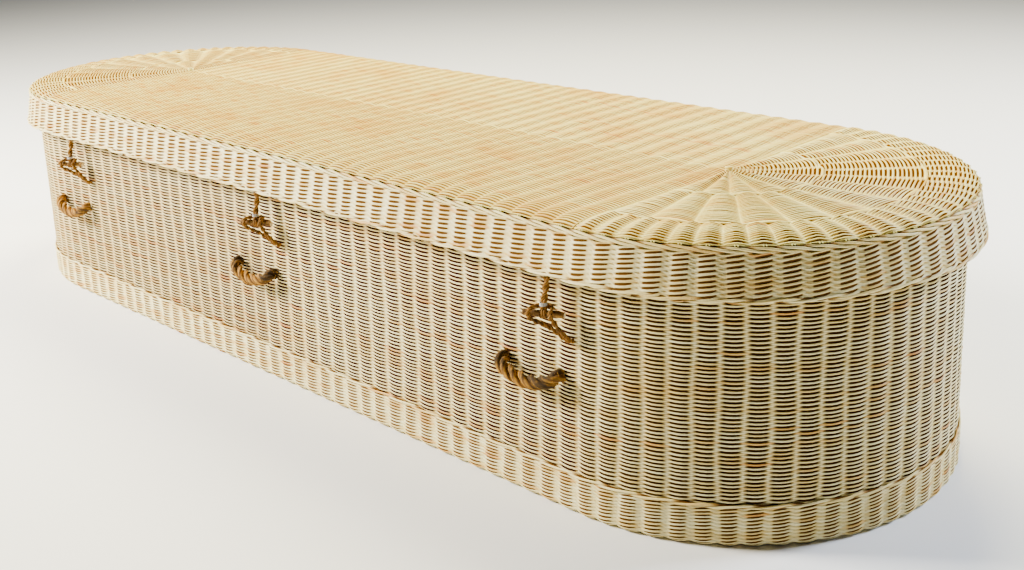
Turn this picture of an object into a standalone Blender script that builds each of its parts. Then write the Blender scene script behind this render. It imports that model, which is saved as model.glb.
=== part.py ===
"""A woven cane casket: a hollow basket with round ends, its lift-off lid, six rope handles
and six toggle closures.

Metres, +Z up. X runs along the length, the origin is under the middle, on the floor.
"""

import math

import bmesh
import bpy
import numpy as np
from mathutils import Vector

# Plan
SIDE_STAKES = 40
END_STAKES = 32
STAKE_PITCH = 0.0325
STRAIGHT = SIDE_STAKES * STAKE_PITCH
GAP = 0.0003

# Lid; its top sinks a little towards the middle, and its fans' steps are shares of the top
LID_RIM_RADIUS = 0.320
LID_FLARE = 0.0135
LID_EDGE_HEIGHT = 0.377
LID_EDGE_ROUND = 0.008
LID_SKIRT = 0.072
LID_WALL = 0.010
LID_SAG = 0.002
LID_RIB_DEPTH = 0.002
INNER_FAN = 0.40
OUTER_FAN = 0.82
FAN_STEP_WIDTH = 0.006

# Basket; its rim fits inside the lid with some play, and its foot spreads wider than its rim
LID_PLAY = 0.001
BASKET_SPREAD = 0.012
BASKET_WALL = 0.010
BASKET_FLOOR = 0.012
FOOT_BAND_HEIGHT = 0.050
FOOT_BAND_PROUD = 0.003
FOOT_BAND_SHOULDER = 0.004
FOOT_ROUND = 0.008
RIB_DEPTH = 0.0025

# Rope handles
HANDLE_SPACING = 0.588
HANDLE_OFFSET = -0.009
HANDLE_HEIGHT = 0.178
HANDLE_SPAN = 0.094
HANDLE_REACH = 0.017
HANDLE_SAG = 0.015
HANDLE_ROPE = 0.016

# Toggle closures
CLOSURE_OFFSET = 0.030
PEG_DROP = 0.044
PEG_REACH = 0.022
PEG_LENGTH = 0.052
PEG_DIAMETER = 0.008
PEG_TURN = math.radians(25)
PEG_BEVEL = 0.0008
LID_CORD = 0.007
LOOP_CORD = 0.005
LOOP_ANCHOR_DROP = 0.034
LOOP_ANCHOR_SHIFT = 0.024
LOOP_ANCHOR_SPREAD = 0.007
LOOP_GRIP = 0.012
LOOP_CLEAR = 0.0012

# Routes, as shares: of a handle's half span, reach and sag, and of a loop's way up to its peg.
# The loop then follows the peg's outer side through these angles, level being 0.
HANDLE_LEG = ((1.0, 0.28, 0.0), (0.92, 0.70, 0.2), (0.66, 0.95, 0.6))
LOOP_RISE = 0.45
LOOP_BOW = 0.72
LOOP_WRAP = (math.radians(-60), 0.0, math.radians(52))
LOOP_CROSSING = 0.7

# Outer faces have a valley and a crest for each stake, the smooth inner ones a corner every two
POINTS_PER_STAKE = 2
STAKES_PER_CORNER = 2
ROUTE_SAMPLES = 24
PEG_SIDES = 12
SMOOTH_ANGLE = math.radians(35)
PEG_SMOOTH_ANGLE = math.radians(50)

# Places that follow from the sizes above
HALF = STRAIGHT / 2
BASKET_RIM_HEIGHT = LID_EDGE_HEIGHT - LID_WALL - GAP
LID_RIM_HEIGHT = LID_EDGE_HEIGHT - LID_SKIRT
PEG_HEIGHT = LID_RIM_HEIGHT - PEG_DROP
LID_EDGE_RADIUS = LID_RIM_RADIUS - LID_FLARE
TOP_RADIUS = LID_EDGE_RADIUS - LID_EDGE_ROUND
BASKET_RIM_RADIUS = LID_EDGE_RADIUS - LID_WALL - LID_PLAY
BASKET_FOOT_RADIUS = BASKET_RIM_RADIUS + BASKET_SPREAD
WALL_LEAN = BASKET_SPREAD / BASKET_RIM_HEIGHT


def material(name, colour, roughness):
    made = bpy.data.materials.new(name)
    made.use_nodes = True
    shader = made.node_tree.nodes["Principled BSDF"]
    shader.inputs["Base Color"].default_value = (*colour, 1.0)
    shader.inputs["Roughness"].default_value = roughness
    return made


def outline(radius, height, depth=0.0, per_stake=POINTS_PER_STAKE, step=1):
    """The plan outline, a straight side, an end, a side and an end, as points at one height.

    Each stake has a valley point at its edge and, with two points a stake, a crest at its middle;
    step skips points.
    """
    points = []
    for half_turn in (1, -1):
        for count, along in ((SIDE_STAKES, "side"), (END_STAKES, "end")):
            for place in range(0, count * per_stake, step):
                share = place / (count * per_stake)
                reach = radius - (depth if place % per_stake == 0 else 0.0)
                if along == "side":
                    x, y = -HALF + share * STRAIGHT, -reach
                else:
                    turn = math.pi * share
                    x, y = HALF + reach * math.sin(turn), -reach * math.cos(turn)
                points.append(Vector((half_turn * x, half_turn * y, height)))
    return points


def inner_outline(radius, height):
    return outline(radius, height, per_stake=1, step=STAKES_PER_CORNER)


def wall_radius(height):
    """The basket's wall leans in from the foot to the rim."""
    return BASKET_FOOT_RADIUS - WALL_LEAN * height


def add_ring(bm, points):
    return [bm.verts.new(point) for point in points]


def skin(bm, lower, upper):
    """Joins two closed rings, the upper with as many points as the lower or a whole share."""
    count, ratio = len(upper), len(lower) // len(upper)
    for i in range(count):
        a, b = upper[i], upper[(i + 1) % count]
        run = [lower[(i * ratio + k) % len(lower)] for k in range(ratio + 1)]
        skin_cell(bm, run, a, b)


def skin_cell(bm, run, a, b):
    """One cell between a run of lower points and the two upper points a and b."""
    if len(run) == 2:
        bm.faces.new((run[0], run[1], b, a))
        return
    middle = len(run) // 2
    for i in range(middle):
        bm.faces.new((run[i], run[i + 1], a))
    for i in range(middle, len(run) - 1):
        bm.faces.new((run[i], run[i + 1], b))
    bm.faces.new((run[middle], b, a))


def finish(bm, name, collection, finish_material):
    """Turns a closed shell's faces outward and makes it an object."""
    bmesh.ops.recalc_face_normals(bm, faces=bm.faces)
    mesh = bpy.data.meshes.new(name)
    bm.to_mesh(mesh)
    bm.free()
    mesh.materials.append(finish_material)
    made = bpy.data.objects.new(name, mesh)
    collection.objects.link(made)
    mesh.shade_smooth()
    mesh.set_sharp_from_angle(angle=SMOOTH_ANGLE)
    return made


def make_basket(collection, cane):
    """One closed shell: ribbed wall and foot band outside, smooth wall and floor inside."""
    bm = bmesh.new()
    shoulder = FOOT_BAND_HEIGHT + FOOT_BAND_SHOULDER
    sole_radius = wall_radius(0.0) + FOOT_BAND_PROUD - FOOT_ROUND
    sole = add_ring(bm, outline(sole_radius, 0.0, per_stake=1))
    rings = []
    for radius, height in (
        (wall_radius(FOOT_ROUND) + FOOT_BAND_PROUD, FOOT_ROUND),
        (wall_radius(FOOT_BAND_HEIGHT) + FOOT_BAND_PROUD, FOOT_BAND_HEIGHT),
        (wall_radius(shoulder), shoulder),
        (wall_radius(BASKET_RIM_HEIGHT), BASKET_RIM_HEIGHT),
    ):
        rings.append(add_ring(bm, outline(radius, height, RIB_DEPTH)))
    skin(bm, rings[0], sole)
    for height in (BASKET_RIM_HEIGHT, BASKET_FLOOR):
        rings.append(add_ring(bm, inner_outline(wall_radius(height) - BASKET_WALL, height)))
    for lower, upper in zip(rings, rings[1:]):
        skin(bm, lower, upper)
    bm.faces.new(sole)
    bm.faces.new(rings[-1])
    return finish(bm, "basket", collection, cane)


def lid_height(radius):
    """The top sinks evenly from its edge to its middle line, and to the centre of each fan."""
    return LID_EDGE_HEIGHT - LID_SAG * (1 - radius / TOP_RADIUS)


def fan_ring(end, radius, ribs, depth):
    """Half a turn of points about one fan's centre, a valley, a crest, a valley and so on."""
    points = []
    for place in range(2 * ribs + 1):
        turn = math.pi * place / (2 * ribs)
        drop = depth if place % 2 == 0 else 0.0
        x, y = HALF + radius * math.sin(turn), -radius * math.cos(turn)
        points.append(Vector((end * x, end * y, lid_height(radius) - drop)))
    return points


def make_fan(bm, end, edge):
    """The ribs that spread from a fan's centre, twice as many beyond each step."""
    step = FAN_STEP_WIDTH / 2
    arcs = [edge]
    for radius, ribs in (
        (OUTER_FAN * TOP_RADIUS + step, END_STAKES),
        (OUTER_FAN * TOP_RADIUS - step, END_STAKES // 2),
        (INNER_FAN * TOP_RADIUS + step, END_STAKES // 2),
        (INNER_FAN * TOP_RADIUS - step, END_STAKES // 4),
    ):
        arcs.append(add_ring(bm, fan_ring(end, radius, ribs, LID_RIB_DEPTH)))
    for lower, upper in zip(arcs, arcs[1:]):
        ratio = (len(lower) - 1) // (len(upper) - 1)
        for i in range(len(upper) - 1):
            run = lower[i * ratio:(i + 1) * ratio + 1]
            skin_cell(bm, run, upper[i], upper[i + 1])
    centre = bm.verts.new((end * HALF, 0.0, lid_height(0.0) - LID_RIB_DEPTH))
    inmost = arcs[-1]
    for i in range(len(inmost) - 1):
        bm.faces.new((inmost[i], inmost[i + 1], centre))
    return centre, [arc[0] for arc in arcs], [arc[-1] for arc in arcs]


def make_lid(collection, cane):
    """One closed shell: a ribbed top with a fan at each end, a skirt, and a hollow underside."""
    bm = bmesh.new()
    underside = LID_EDGE_HEIGHT - LID_WALL
    top_points = outline(TOP_RADIUS, LID_EDGE_HEIGHT)
    for point in top_points[::2]:
        point.z -= LID_RIB_DEPTH
    rim = add_ring(bm, outline(LID_RIM_RADIUS, LID_RIM_HEIGHT, RIB_DEPTH))
    edge = add_ring(bm, outline(LID_EDGE_RADIUS, LID_EDGE_HEIGHT - LID_EDGE_ROUND, RIB_DEPTH))
    top = add_ring(bm, top_points)
    inner_rim = add_ring(bm, inner_outline(LID_RIM_RADIUS - LID_WALL, LID_RIM_HEIGHT))
    inner_edge = add_ring(bm, inner_outline(LID_EDGE_RADIUS - LID_WALL, underside))
    for lower, upper in ((rim, edge), (edge, top), (rim, inner_rim), (inner_rim, inner_edge)):
        skin(bm, lower, upper)
    bm.faces.new(inner_edge)
    make_lid_top(bm, top)
    return finish(bm, "lid", collection, cane)


def make_lid_top(bm, top):
    """Straight ribs across, from edge to middle line to edge, and a fan at each end."""
    side, half_way = POINTS_PER_STAKE * SIDE_STAKES, len(top) // 2
    front, back = top[:side + 1], top[half_way:half_way + side + 1][::-1]
    near_centre, near_front, near_back = make_fan(bm, 1, top[side:half_way + 1])
    far_centre, far_back, far_front = make_fan(bm, -1, top[half_way + side:] + top[:1])
    middle = [far_centre]
    for place in range(1, side):
        drop = LID_RIB_DEPTH if place % 2 == 0 else 0.0
        x = -HALF + STRAIGHT * place / side
        middle.append(bm.verts.new((x, 0.0, lid_height(0.0) - drop)))
    middle.append(near_centre)
    for i in range(side):
        from_fan_front = far_front[:0:-1] if i == 0 else []
        from_fan_back = far_back[1:] if i == 0 else []
        to_fan_front = near_front[1:] if i == side - 1 else []
        to_fan_back = near_back[:0:-1] if i == side - 1 else []
        inward, outward = [middle[i + 1], middle[i]], [middle[i], middle[i + 1]]
        bm.faces.new([front[i], front[i + 1]] + to_fan_front + inward + from_fan_front)
        bm.faces.new(outward + to_fan_back + [back[i + 1], back[i]] + from_fan_back)


def smooth_route(knots, spacing):
    """Points every so often along a smooth curve through the given ones (Catmull-Rom).

    The first and last stretches stay straight, so that the ends meet their faces squarely.
    """
    fine = []
    for p0, p1, p2, p3 in zip(knots, knots[1:], knots[2:], knots[3:]):
        for step in range(ROUTE_SAMPLES):
            t = step / ROUTE_SAMPLES
            fine.append(0.5 * (2 * p1 + (p2 - p0) * t + (2 * p0 - 5 * p1 + 4 * p2 - p3) * t ** 2
                               + (3 * p1 - p0 - 3 * p2 + p3) * t ** 3))
    fine.append(knots[-2])
    lengths = np.array([0.0] + [(b - a).length for a, b in zip(fine, fine[1:])]).cumsum()
    places = np.linspace(0.0, lengths[-1], max(2, round(lengths[-1] / spacing) + 1))
    columns = [np.interp(places, lengths, [point[axis] for point in fine]) for axis in range(3)]
    return [knots[0]] + [Vector(values) for values in zip(*columns)] + [knots[-1]]


def make_cord(collection, name, route, diameter, cord_material, side):
    """A round cord as a bevelled poly spline with filled ends, turned about Z for the back."""
    curve = bpy.data.curves.new(name, "CURVE")
    curve.dimensions = "3D"
    curve.bevel_depth = diameter / 2
    curve.bevel_resolution = 2
    curve.use_fill_caps = True
    spline = curve.splines.new("POLY")
    spline.points.add(len(route) - 1)
    for point, place in zip(spline.points, route):
        point.co = (side * place.x, side * place.y, place.z, 1.0)
    curve.materials.append(cord_material)
    made = bpy.data.objects.new(name, curve)
    collection.objects.link(made)
    return made


def wall_point(x, height, reach):
    """A point in front of the long wall's crests, reach away from them."""
    return Vector((x, -wall_radius(height) - reach, height))


def clear_reach(diameter):
    """Where the flat end of a cord that leaves the wall level is just clear of its lean."""
    return GAP + WALL_LEAN * diameter / 2


def handle_route(x):
    """The rope leaves the wall squarely, bows out and sags a little, and goes back in."""

    def leg(direction):
        end = wall_point(x + direction * HANDLE_SPAN / 2, HANDLE_HEIGHT, clear_reach(HANDLE_ROPE))
        rest = []
        for along, out, down in HANDLE_LEG:
            place = x + direction * along * HANDLE_SPAN / 2
            rest.append(wall_point(place, HANDLE_HEIGHT - down * HANDLE_SAG, out * HANDLE_REACH))
        return [end] + rest

    return leg(-1) + [wall_point(x, HANDLE_HEIGHT - HANDLE_SAG, HANDLE_REACH)] + leg(1)[::-1]


def peg_axis_reach(offset):
    """How far the peg's axis stands from the wall, offset to the right of its middle."""
    return PEG_REACH - offset * math.tan(PEG_TURN)


def lid_cord_route(x):
    """The cord hangs from the underside of the lid's rim down to the top of the peg."""
    rim_reach = LID_RIM_RADIUS - LID_WALL / 2 - wall_radius(LID_RIM_HEIGHT)
    top = Vector((x, -wall_radius(LID_RIM_HEIGHT) - rim_reach, LID_RIM_HEIGHT - GAP))
    foot = wall_point(x, PEG_HEIGHT, PEG_REACH)
    foot.z += PEG_DIAMETER / 2 + 2 * GAP
    middle = (top + foot) / 2
    return [top, top - Vector((0, 0, LID_CORD)), middle, foot + Vector((0, 0, LID_CORD)), foot]


def loop_route(x):
    """Up from the wall, over the peg's outer side, behind the lid cord and back the same way."""
    hug = (PEG_DIAMETER + LOOP_CORD) / 2 + LOOP_CLEAR
    behind = PEG_REACH - (LID_CORD + LOOP_CORD) / 2 - LOOP_CLEAR
    anchor_height = PEG_HEIGHT - LOOP_ANCHOR_DROP
    anchor_x = x + LOOP_ANCHOR_SHIFT

    def leg(direction):
        grip = direction * LOOP_GRIP
        axis = peg_axis_reach(grip)
        end = anchor_x + direction * LOOP_ANCHOR_SPREAD / 2
        rise_height = anchor_height + LOOP_RISE * LOOP_ANCHOR_DROP
        points = [
            wall_point(end, anchor_height, clear_reach(LOOP_CORD)),
            wall_point(end, anchor_height, LOOP_CORD),
            wall_point((end + x + grip) / 2, rise_height, LOOP_BOW * PEG_REACH),
        ]
        for angle in LOOP_WRAP:
            out = hug * math.cos(angle) / math.cos(PEG_TURN)
            points.append(wall_point(x + grip, PEG_HEIGHT + hug * math.sin(angle), axis + out))
        crossing = wall_point(x + LOOP_CROSSING * grip, PEG_HEIGHT + hug, (axis + behind) / 2)
        return points + [crossing]

    return leg(-1) + [wall_point(x, PEG_HEIGHT + hug, behind)] + leg(1)[::-1]


def make_peg(collection, name, x, side, bark):
    """A short length of twig, turned so that its left end points away from the wall."""
    mesh = bpy.data.meshes.new(name)
    bm = bmesh.new()
    bmesh.ops.create_cone(bm, cap_ends=True, segments=PEG_SIDES, radius1=PEG_DIAMETER / 2,
                          radius2=PEG_DIAMETER / 2, depth=PEG_LENGTH)
    bm.to_mesh(mesh)
    bm.free()
    mesh.materials.append(bark)
    made = bpy.data.objects.new(name, mesh)
    place = wall_point(x, PEG_HEIGHT, PEG_REACH)
    made.location = (side * place.x, side * place.y, place.z)
    quarter = math.pi / 2
    made.rotation_euler = (0.0, quarter, PEG_TURN + (0.0 if side == 1 else math.pi))
    collection.objects.link(made)
    bevel = made.modifiers.new("rounded ends", "BEVEL")
    bevel.width = PEG_BEVEL
    bevel.segments = 1
    bevel.limit_method = "ANGLE"
    bevel.angle_limit = PEG_SMOOTH_ANGLE
    mesh.shade_smooth()
    mesh.set_sharp_from_angle(angle=PEG_SMOOTH_ANGLE)
    return made


def make_fittings(collection, rope, bark):
    """Three handles and three closures on each long side; the back repeats the front, turned."""
    for side, side_name in ((1, "front"), (-1, "back")):
        for number, place in ((1, -1), (2, 0), (3, 1)):
            x = place * HANDLE_SPACING
            ending = f"{side_name}_{number}"
            make_cord(collection, f"rope_handle_{ending}",
                      smooth_route(handle_route(x + HANDLE_OFFSET), HANDLE_ROPE), HANDLE_ROPE, rope,
                      side)
            closure = x + CLOSURE_OFFSET
            make_cord(collection, f"lid_cord_{ending}",
                      smooth_route(lid_cord_route(closure), LID_CORD * 2), LID_CORD, rope, side)
            make_cord(collection, f"peg_loop_{ending}",
                      smooth_route(loop_route(closure), LOOP_CORD), LOOP_CORD, rope, side)
            make_peg(collection, f"toggle_peg_{ending}", closure, side, bark)


def main():
    for old in list(bpy.data.objects):
        bpy.data.objects.remove(old)
    collection = bpy.data.collections.new("woven_casket")
    bpy.context.scene.collection.children.link(collection)
    cane = material("peeled cane", (0.78, 0.66, 0.43), 0.55)
    rope = material("twisted fibre rope", (0.33, 0.16, 0.05), 0.8)
    bark = material("peg with bark", (0.20, 0.12, 0.05), 0.75)
    make_basket(collection, cane)
    make_lid(collection, cane)
    make_fittings(collection, rope, bark)


main()
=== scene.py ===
# %% [markdown]
# # A casket woven from cane
#
# The real object is a basket as long as a person. Upright stakes of cane stand 32 mm apart round
# a plan with two round ends, and thin weavers run over and under them. A lid of the same work
# lifts off. Six short rope handles and six toggle closures are all that isn't cane.
#
# Each weaver could be a tube of its own, but hundreds of them, wound round 144 stakes, would
# take many millions of faces. Here a woven wall is one closed sheet whose outer face carries the
# weave as relief, and only ropes, cords and borders are made strand by strand.
#
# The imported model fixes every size. It is loaded first and never changed. What follows builds
# the woven surfaces, ropes and pegs in the same place as the plain solids they stand for.

import math

import bpy
import numpy as np
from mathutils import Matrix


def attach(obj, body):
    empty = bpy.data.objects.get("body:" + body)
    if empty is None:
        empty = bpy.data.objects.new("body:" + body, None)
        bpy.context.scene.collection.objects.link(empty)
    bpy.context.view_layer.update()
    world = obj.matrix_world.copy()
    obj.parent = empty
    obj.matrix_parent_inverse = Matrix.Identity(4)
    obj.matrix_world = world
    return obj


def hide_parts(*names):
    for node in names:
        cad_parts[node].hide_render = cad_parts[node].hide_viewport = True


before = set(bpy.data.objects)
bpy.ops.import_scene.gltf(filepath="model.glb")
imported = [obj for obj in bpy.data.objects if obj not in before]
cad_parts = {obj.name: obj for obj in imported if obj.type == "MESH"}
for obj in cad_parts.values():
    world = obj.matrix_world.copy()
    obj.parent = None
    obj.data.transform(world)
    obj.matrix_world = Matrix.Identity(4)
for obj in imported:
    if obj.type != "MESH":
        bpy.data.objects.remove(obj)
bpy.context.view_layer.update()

# %% [markdown]
# ## The camera
#
# The photograph was taken from the front right, a little above the lid, with a view as wide as a
# normal lens gives. The place and lens below were solved from the outline of the lid and of the
# foot. A camera could be turned until the view looks right, but from a solved place the
# perspective is right too, so a difference between the two pictures is one in the object.

# %% Camera
camera_data = bpy.data.cameras.new("camera")
camera_data.sensor_width = 36.0
camera_data.lens = 43.01
camera = bpy.data.objects.new("camera", camera_data)
camera.location = (1.5416, -1.2812, 0.7809)
camera.rotation_euler = [math.radians(angle) for angle in (70.053, 2.166, 44.636)]
bpy.context.scene.collection.objects.link(camera)
bpy.context.scene.camera = camera
print("lens", camera_data.lens, "mm")

# %% [markdown]
# ## Sizes shared by every piece
#
# These are the driving sizes of the fixed model, in metres. The plan is a straight side of 40
# stakes, a half turn of 32, a straight side and a half turn. A place on it is given as a number
# of stakes from the far front corner, so a whole number is the valley between two stakes.

# %% Sizes
MM = 0.001
GAP = 0.0003
STAKE_PITCH = 0.0325
SIDE_STAKES, END_STAKES = 40, 32
AROUND = 2 * (SIDE_STAKES + END_STAKES)
HALF = SIDE_STAKES * STAKE_PITCH / 2

LID_EDGE_HEIGHT, LID_SKIRT, LID_WALL = 0.377, 0.072, 0.010
LID_RIM_RADIUS, LID_FLARE, LID_EDGE_ROUND = 0.320, 0.0135, 0.008
LID_RIM_HEIGHT = LID_EDGE_HEIGHT - LID_SKIRT
LID_EDGE_RADIUS = LID_RIM_RADIUS - LID_FLARE
TOP_RADIUS = LID_EDGE_RADIUS - LID_EDGE_ROUND

LID_PLAY, BASKET_SPREAD, BASKET_WALL, BASKET_FLOOR = 0.001, 0.012, 0.010, 0.012
BASKET_RIM_HEIGHT = LID_EDGE_HEIGHT - LID_WALL - GAP
BASKET_RIM_RADIUS = LID_EDGE_RADIUS - LID_WALL - LID_PLAY
BASKET_FOOT_RADIUS = BASKET_RIM_RADIUS + BASKET_SPREAD
WALL_LEAN = BASKET_SPREAD / BASKET_RIM_HEIGHT


def wall_radius(height):
    """The leaning wall: the foot radius less the lean times the height."""
    return BASKET_FOOT_RADIUS - WALL_LEAN * height


print("stakes round the plan", AROUND, "wall lean", round(WALL_LEAN, 4))

# %% [markdown]
# ## Placing a point on the plan
#
# Weavers run parallel to the outline, so one function turns "so many stakes along, so far from
# the middle line" into x and y. On the straight sides x grows by one pitch a stake, and on the
# ends the same number becomes an angle. A curve object could carry the outline as well, but with
# a formula every piece can be worked out as whole arrays.


# %% Plan
def plan_point(stakes, radius):
    """x and y at a number of stakes along the outline, radius away from the middle line.

    Side: x runs evenly from one end of the middle line to the other, y is plus or minus radius.
    End: the end of the middle line plus radius times the sine and minus the cosine of the turn.
    """
    place = np.mod(stakes, AROUND)
    back = place >= AROUND / 2
    place = np.where(back, place - AROUND / 2, place)
    turn = np.pi * np.clip(place - SIDE_STAKES, 0, None) / END_STAKES
    x = -HALF + STAKE_PITCH * np.minimum(place, SIDE_STAKES) + radius * np.sin(turn)
    y = -radius * np.cos(turn)
    half_turn = np.where(back, -1.0, 1.0)
    return half_turn * x, half_turn * y


corners = plan_point(np.array([0.0, 40.0, 56.0, 72.0, 128.0]), LID_RIM_RADIUS)
print("plan check", np.round(np.array(corners).T, 3).tolist())

# %% [markdown]
# ## Colours and one helper for shader nodes
#
# Colours are written as they look on a screen and turned to linear light by one function. A
# second small function adds a shader node, sets its values and links its inputs.


# %% Colour and node helpers
def linear(hex_colour):
    """sRGB to linear light: the low part is divided by 12.92, the rest follows the 2.4 power."""
    channels = np.array([int(hex_colour[i:i + 2], 16) for i in (1, 3, 5)]) / 255
    low, high = channels / 12.92, ((channels + 0.055) / 1.055) ** 2.4
    return (*np.where(channels <= 0.04045, low, high).tolist(), 1.0)


def add_node(tree, kind, settings=None, stops=(), **inputs):
    """Adds a node: settings are its own properties, stops a ramp's (position, colour) pairs.

    Inputs are values or sockets to link, by the input's name or as i and its number.
    """
    node = tree.nodes.new(kind)
    for name, value in (settings or {}).items():
        setattr(node, name, value)
    if stops:
        elements = node.color_ramp.elements
        while len(elements) < len(stops):
            elements.new(0.5)
        for element, (position, colour) in zip(elements, stops):
            element.position, element.color = position, linear(colour)
    for name, value in inputs.items():
        key = int(name[1:]) if name[0] == "i" and name[1:].isdigit() else name.replace("_", " ")
        if isinstance(value, bpy.types.NodeSocket):
            tree.links.new(value, node.inputs[key])
        else:
            node.inputs[key].default_value = value
    return node


def new_material(name):
    """A material with one shader linked to its output: the material, its tree, the shader."""
    made = bpy.data.materials.new(name)
    made.use_nodes = True
    tree = made.node_tree
    tree.nodes.clear()
    output = tree.nodes.new("ShaderNodeOutputMaterial")
    shader = tree.nodes.new("ShaderNodeBsdfPrincipled")
    tree.links.new(shader.outputs[0], output.inputs[0])
    return made, tree, shader


# settings that several nodes share: mixing two colours, multiplying them, and a soft step
MIX = {"data_type": "RGBA"}
TINT = {"data_type": "RGBA", "blend_type": "MULTIPLY"}
SOFT = {"interpolation_type": "SMOOTHSTEP"}
print("cream in linear light", [round(v, 3) for v in linear("#EFE0BC")[:3]])

# %% [markdown]
# ## Peeled cane
#
# The weavers are rattan core cane: pale straw, satin, cut from long rods, so that one strand
# keeps its colour for a while and then gives way to another, and some have tan or orange
# stretches. Each woven surface carries two values at its points: tone says which rod a point
# belongs to, and gap how far it lies behind the front strands, from which the material paints
# shade on a strand's sides and in the hollows between strands. A noise texture alone could give
# patches, but not a colour that stays on its own strand. Plain cane is unvarnished, so it is
# satin, with the index of refraction of wood, and what lies between the strands doesn't shine.

# %% Cane
STAIN_SIZE, CANE_FIBRE, CANE_IOR = 111.11 * MM, 1.4286 * MM, 1.48


def make_cane(name, stops, edge, dark, stain, patchy=0.45):
    """Rod colour from tone, painted shade on sides and between strands, tan stains, fine fibres."""
    made, tree, shader = new_material(name)
    place = add_node(tree, "ShaderNodeTexCoord").outputs["Object"]
    tone = add_node(tree, "ShaderNodeAttribute", {"attribute_name": "tone"}).outputs["Fac"]
    gap = add_node(tree, "ShaderNodeAttribute", {"attribute_name": "gap"}).outputs["Fac"]
    rods = add_node(tree, "ShaderNodeValToRGB", stops=stops, Fac=tone).outputs["Color"]
    # stains are a hand wide, with edges a few strands wide
    clouds = add_node(tree, "ShaderNodeTexNoise", Vector=place, Scale=1 / STAIN_SIZE, Detail=5.0,
                      Roughness=0.6)
    share = add_node(tree, "ShaderNodeMapRange", Value=clouds.outputs["Fac"], i1=0.48, i2=0.74,
                     i3=0.0, i4=patchy).outputs[0]
    stained = add_node(tree, "ShaderNodeMix", TINT, i0=share, i6=rods, i7=linear(stain)).outputs[2]
    # real fibres are 0.2 mm apart, too fine to show, so they are drawn coarser
    fibres = add_node(tree, "ShaderNodeTexNoise", Vector=place, Scale=1 / CANE_FIBRE, Detail=2.0)
    grain = add_node(tree, "ShaderNodeMapRange", Value=fibres.outputs["Fac"], i1=0.3, i2=0.7,
                     i3=0.90, i4=1.06).outputs[0]
    grained = add_node(tree, "ShaderNodeMix", TINT, i0=1.0, i6=stained, i7=grain).outputs[2]
    # painted shade: by the gap value, strand sides get the side colour, hollows the dark one
    side = add_node(tree, "ShaderNodeMapRange", SOFT, Value=gap, i1=0.04, i2=0.22, i3=0.0,
                    i4=0.8).outputs[0]
    sides = add_node(tree, "ShaderNodeMix", TINT, i0=side, i6=grained, i7=linear(edge)).outputs[2]
    deep = add_node(tree, "ShaderNodeMapRange", SOFT, Value=gap, i1=0.12, i2=0.36, i3=0.0,
                    i4=1.0).outputs[0]
    colour = add_node(tree, "ShaderNodeMix", MIX, i0=deep, i6=sides, i7=linear(dark)).outputs[2]
    bump = add_node(tree, "ShaderNodeBump", Strength=0.25, Distance=0.0002,
                    Height=fibres.outputs["Fac"]).outputs[0]
    tree.links.new(colour, shader.inputs["Base Color"])
    tree.links.new(bump, shader.inputs["Normal"])
    # a satin strand has a soft, wide highlight, and the dark between strands has none
    shine = add_node(tree, "ShaderNodeMapRange", Value=deep, i1=0.0, i2=1.0, i3=0.35, i4=0.0)
    tree.links.new(shine.outputs[0], shader.inputs["Specular IOR Level"])
    shader.inputs["Roughness"].default_value = 0.50
    shader.inputs["IOR"].default_value = CANE_IOR
    return made


print("stains", round(STAIN_SIZE * 1e3), "mm, fibres", round(CANE_FIBRE * 1e3, 2), "mm")

# %% [markdown]
# ## Five shades of the same cane
#
# Each stop is a rod colour, from the palest to the most orange. The lid's top has yellower rods.
# After the stops come the painted shade on a strand's side, the painted shade between the
# strands, and the stain. One material could serve all pieces, but light falls deeper between
# the thick rods of skirt and foot than into the dense wall, so each kind of weaving has its own
# painted shade there, and the round near end, lit differently, has its own as well.

# %% Cane colours
CANE_STOPS = ((0.0, "#F4ECB4"), (0.35, "#F0E1A0"), (0.62, "#E9D182"), (0.82, "#E0B25C"),
              (1.0, "#D0903C"))
TOP_STOPS = ((0.0, "#F6EE96"), (0.35, "#F3E57E"), (0.62, "#EED564"), (0.82, "#E8C04E"),
             (1.0, "#DEA540"))
# after the rod stops: painted side shade, painted shade between strands, then the real stain
wall_cane = make_cane("peeled rattan core, satin", CANE_STOPS, "#B08C4C", "#2C100C", "#EECE80")
end_cane_painted_shade = make_cane("peeled rattan core, round end, own painted shade", CANE_STOPS, "#947A42", "#36200C", "#E8CA7C")
top_cane = make_cane("peeled rattan core, warmer rods", TOP_STOPS, "#D6B658", "#86601E",
                     "#F2CE6C", 0.9)
fan_cane = make_cane("peeled rattan core, fans", TOP_STOPS, "#C28E34", "#6E440E", "#F0D27C", 0.7)
skirt_cane = make_cane("peeled rattan core, thicker rods", CANE_STOPS, "#B08E50", "#5E3E1A",
                       "#E8CA84")
print("cane materials", wall_cane.name, top_cane.name, fan_cane.name)
print("and", skirt_cane.name, "and", end_cane_painted_shade.name)

# %% [markdown]
# ## Turning arrays into a piece
#
# Every piece is made as arrays of points and faces. One helper makes the mesh, stores the values
# its material reads, and turns the shell right side out by the sign of the volume it encloses.
# Blender can recalculate normals too, but the sign is certain on any closed shell. Faces come in
# blocks: each block is an array whose faces all have the same number of corners.


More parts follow.
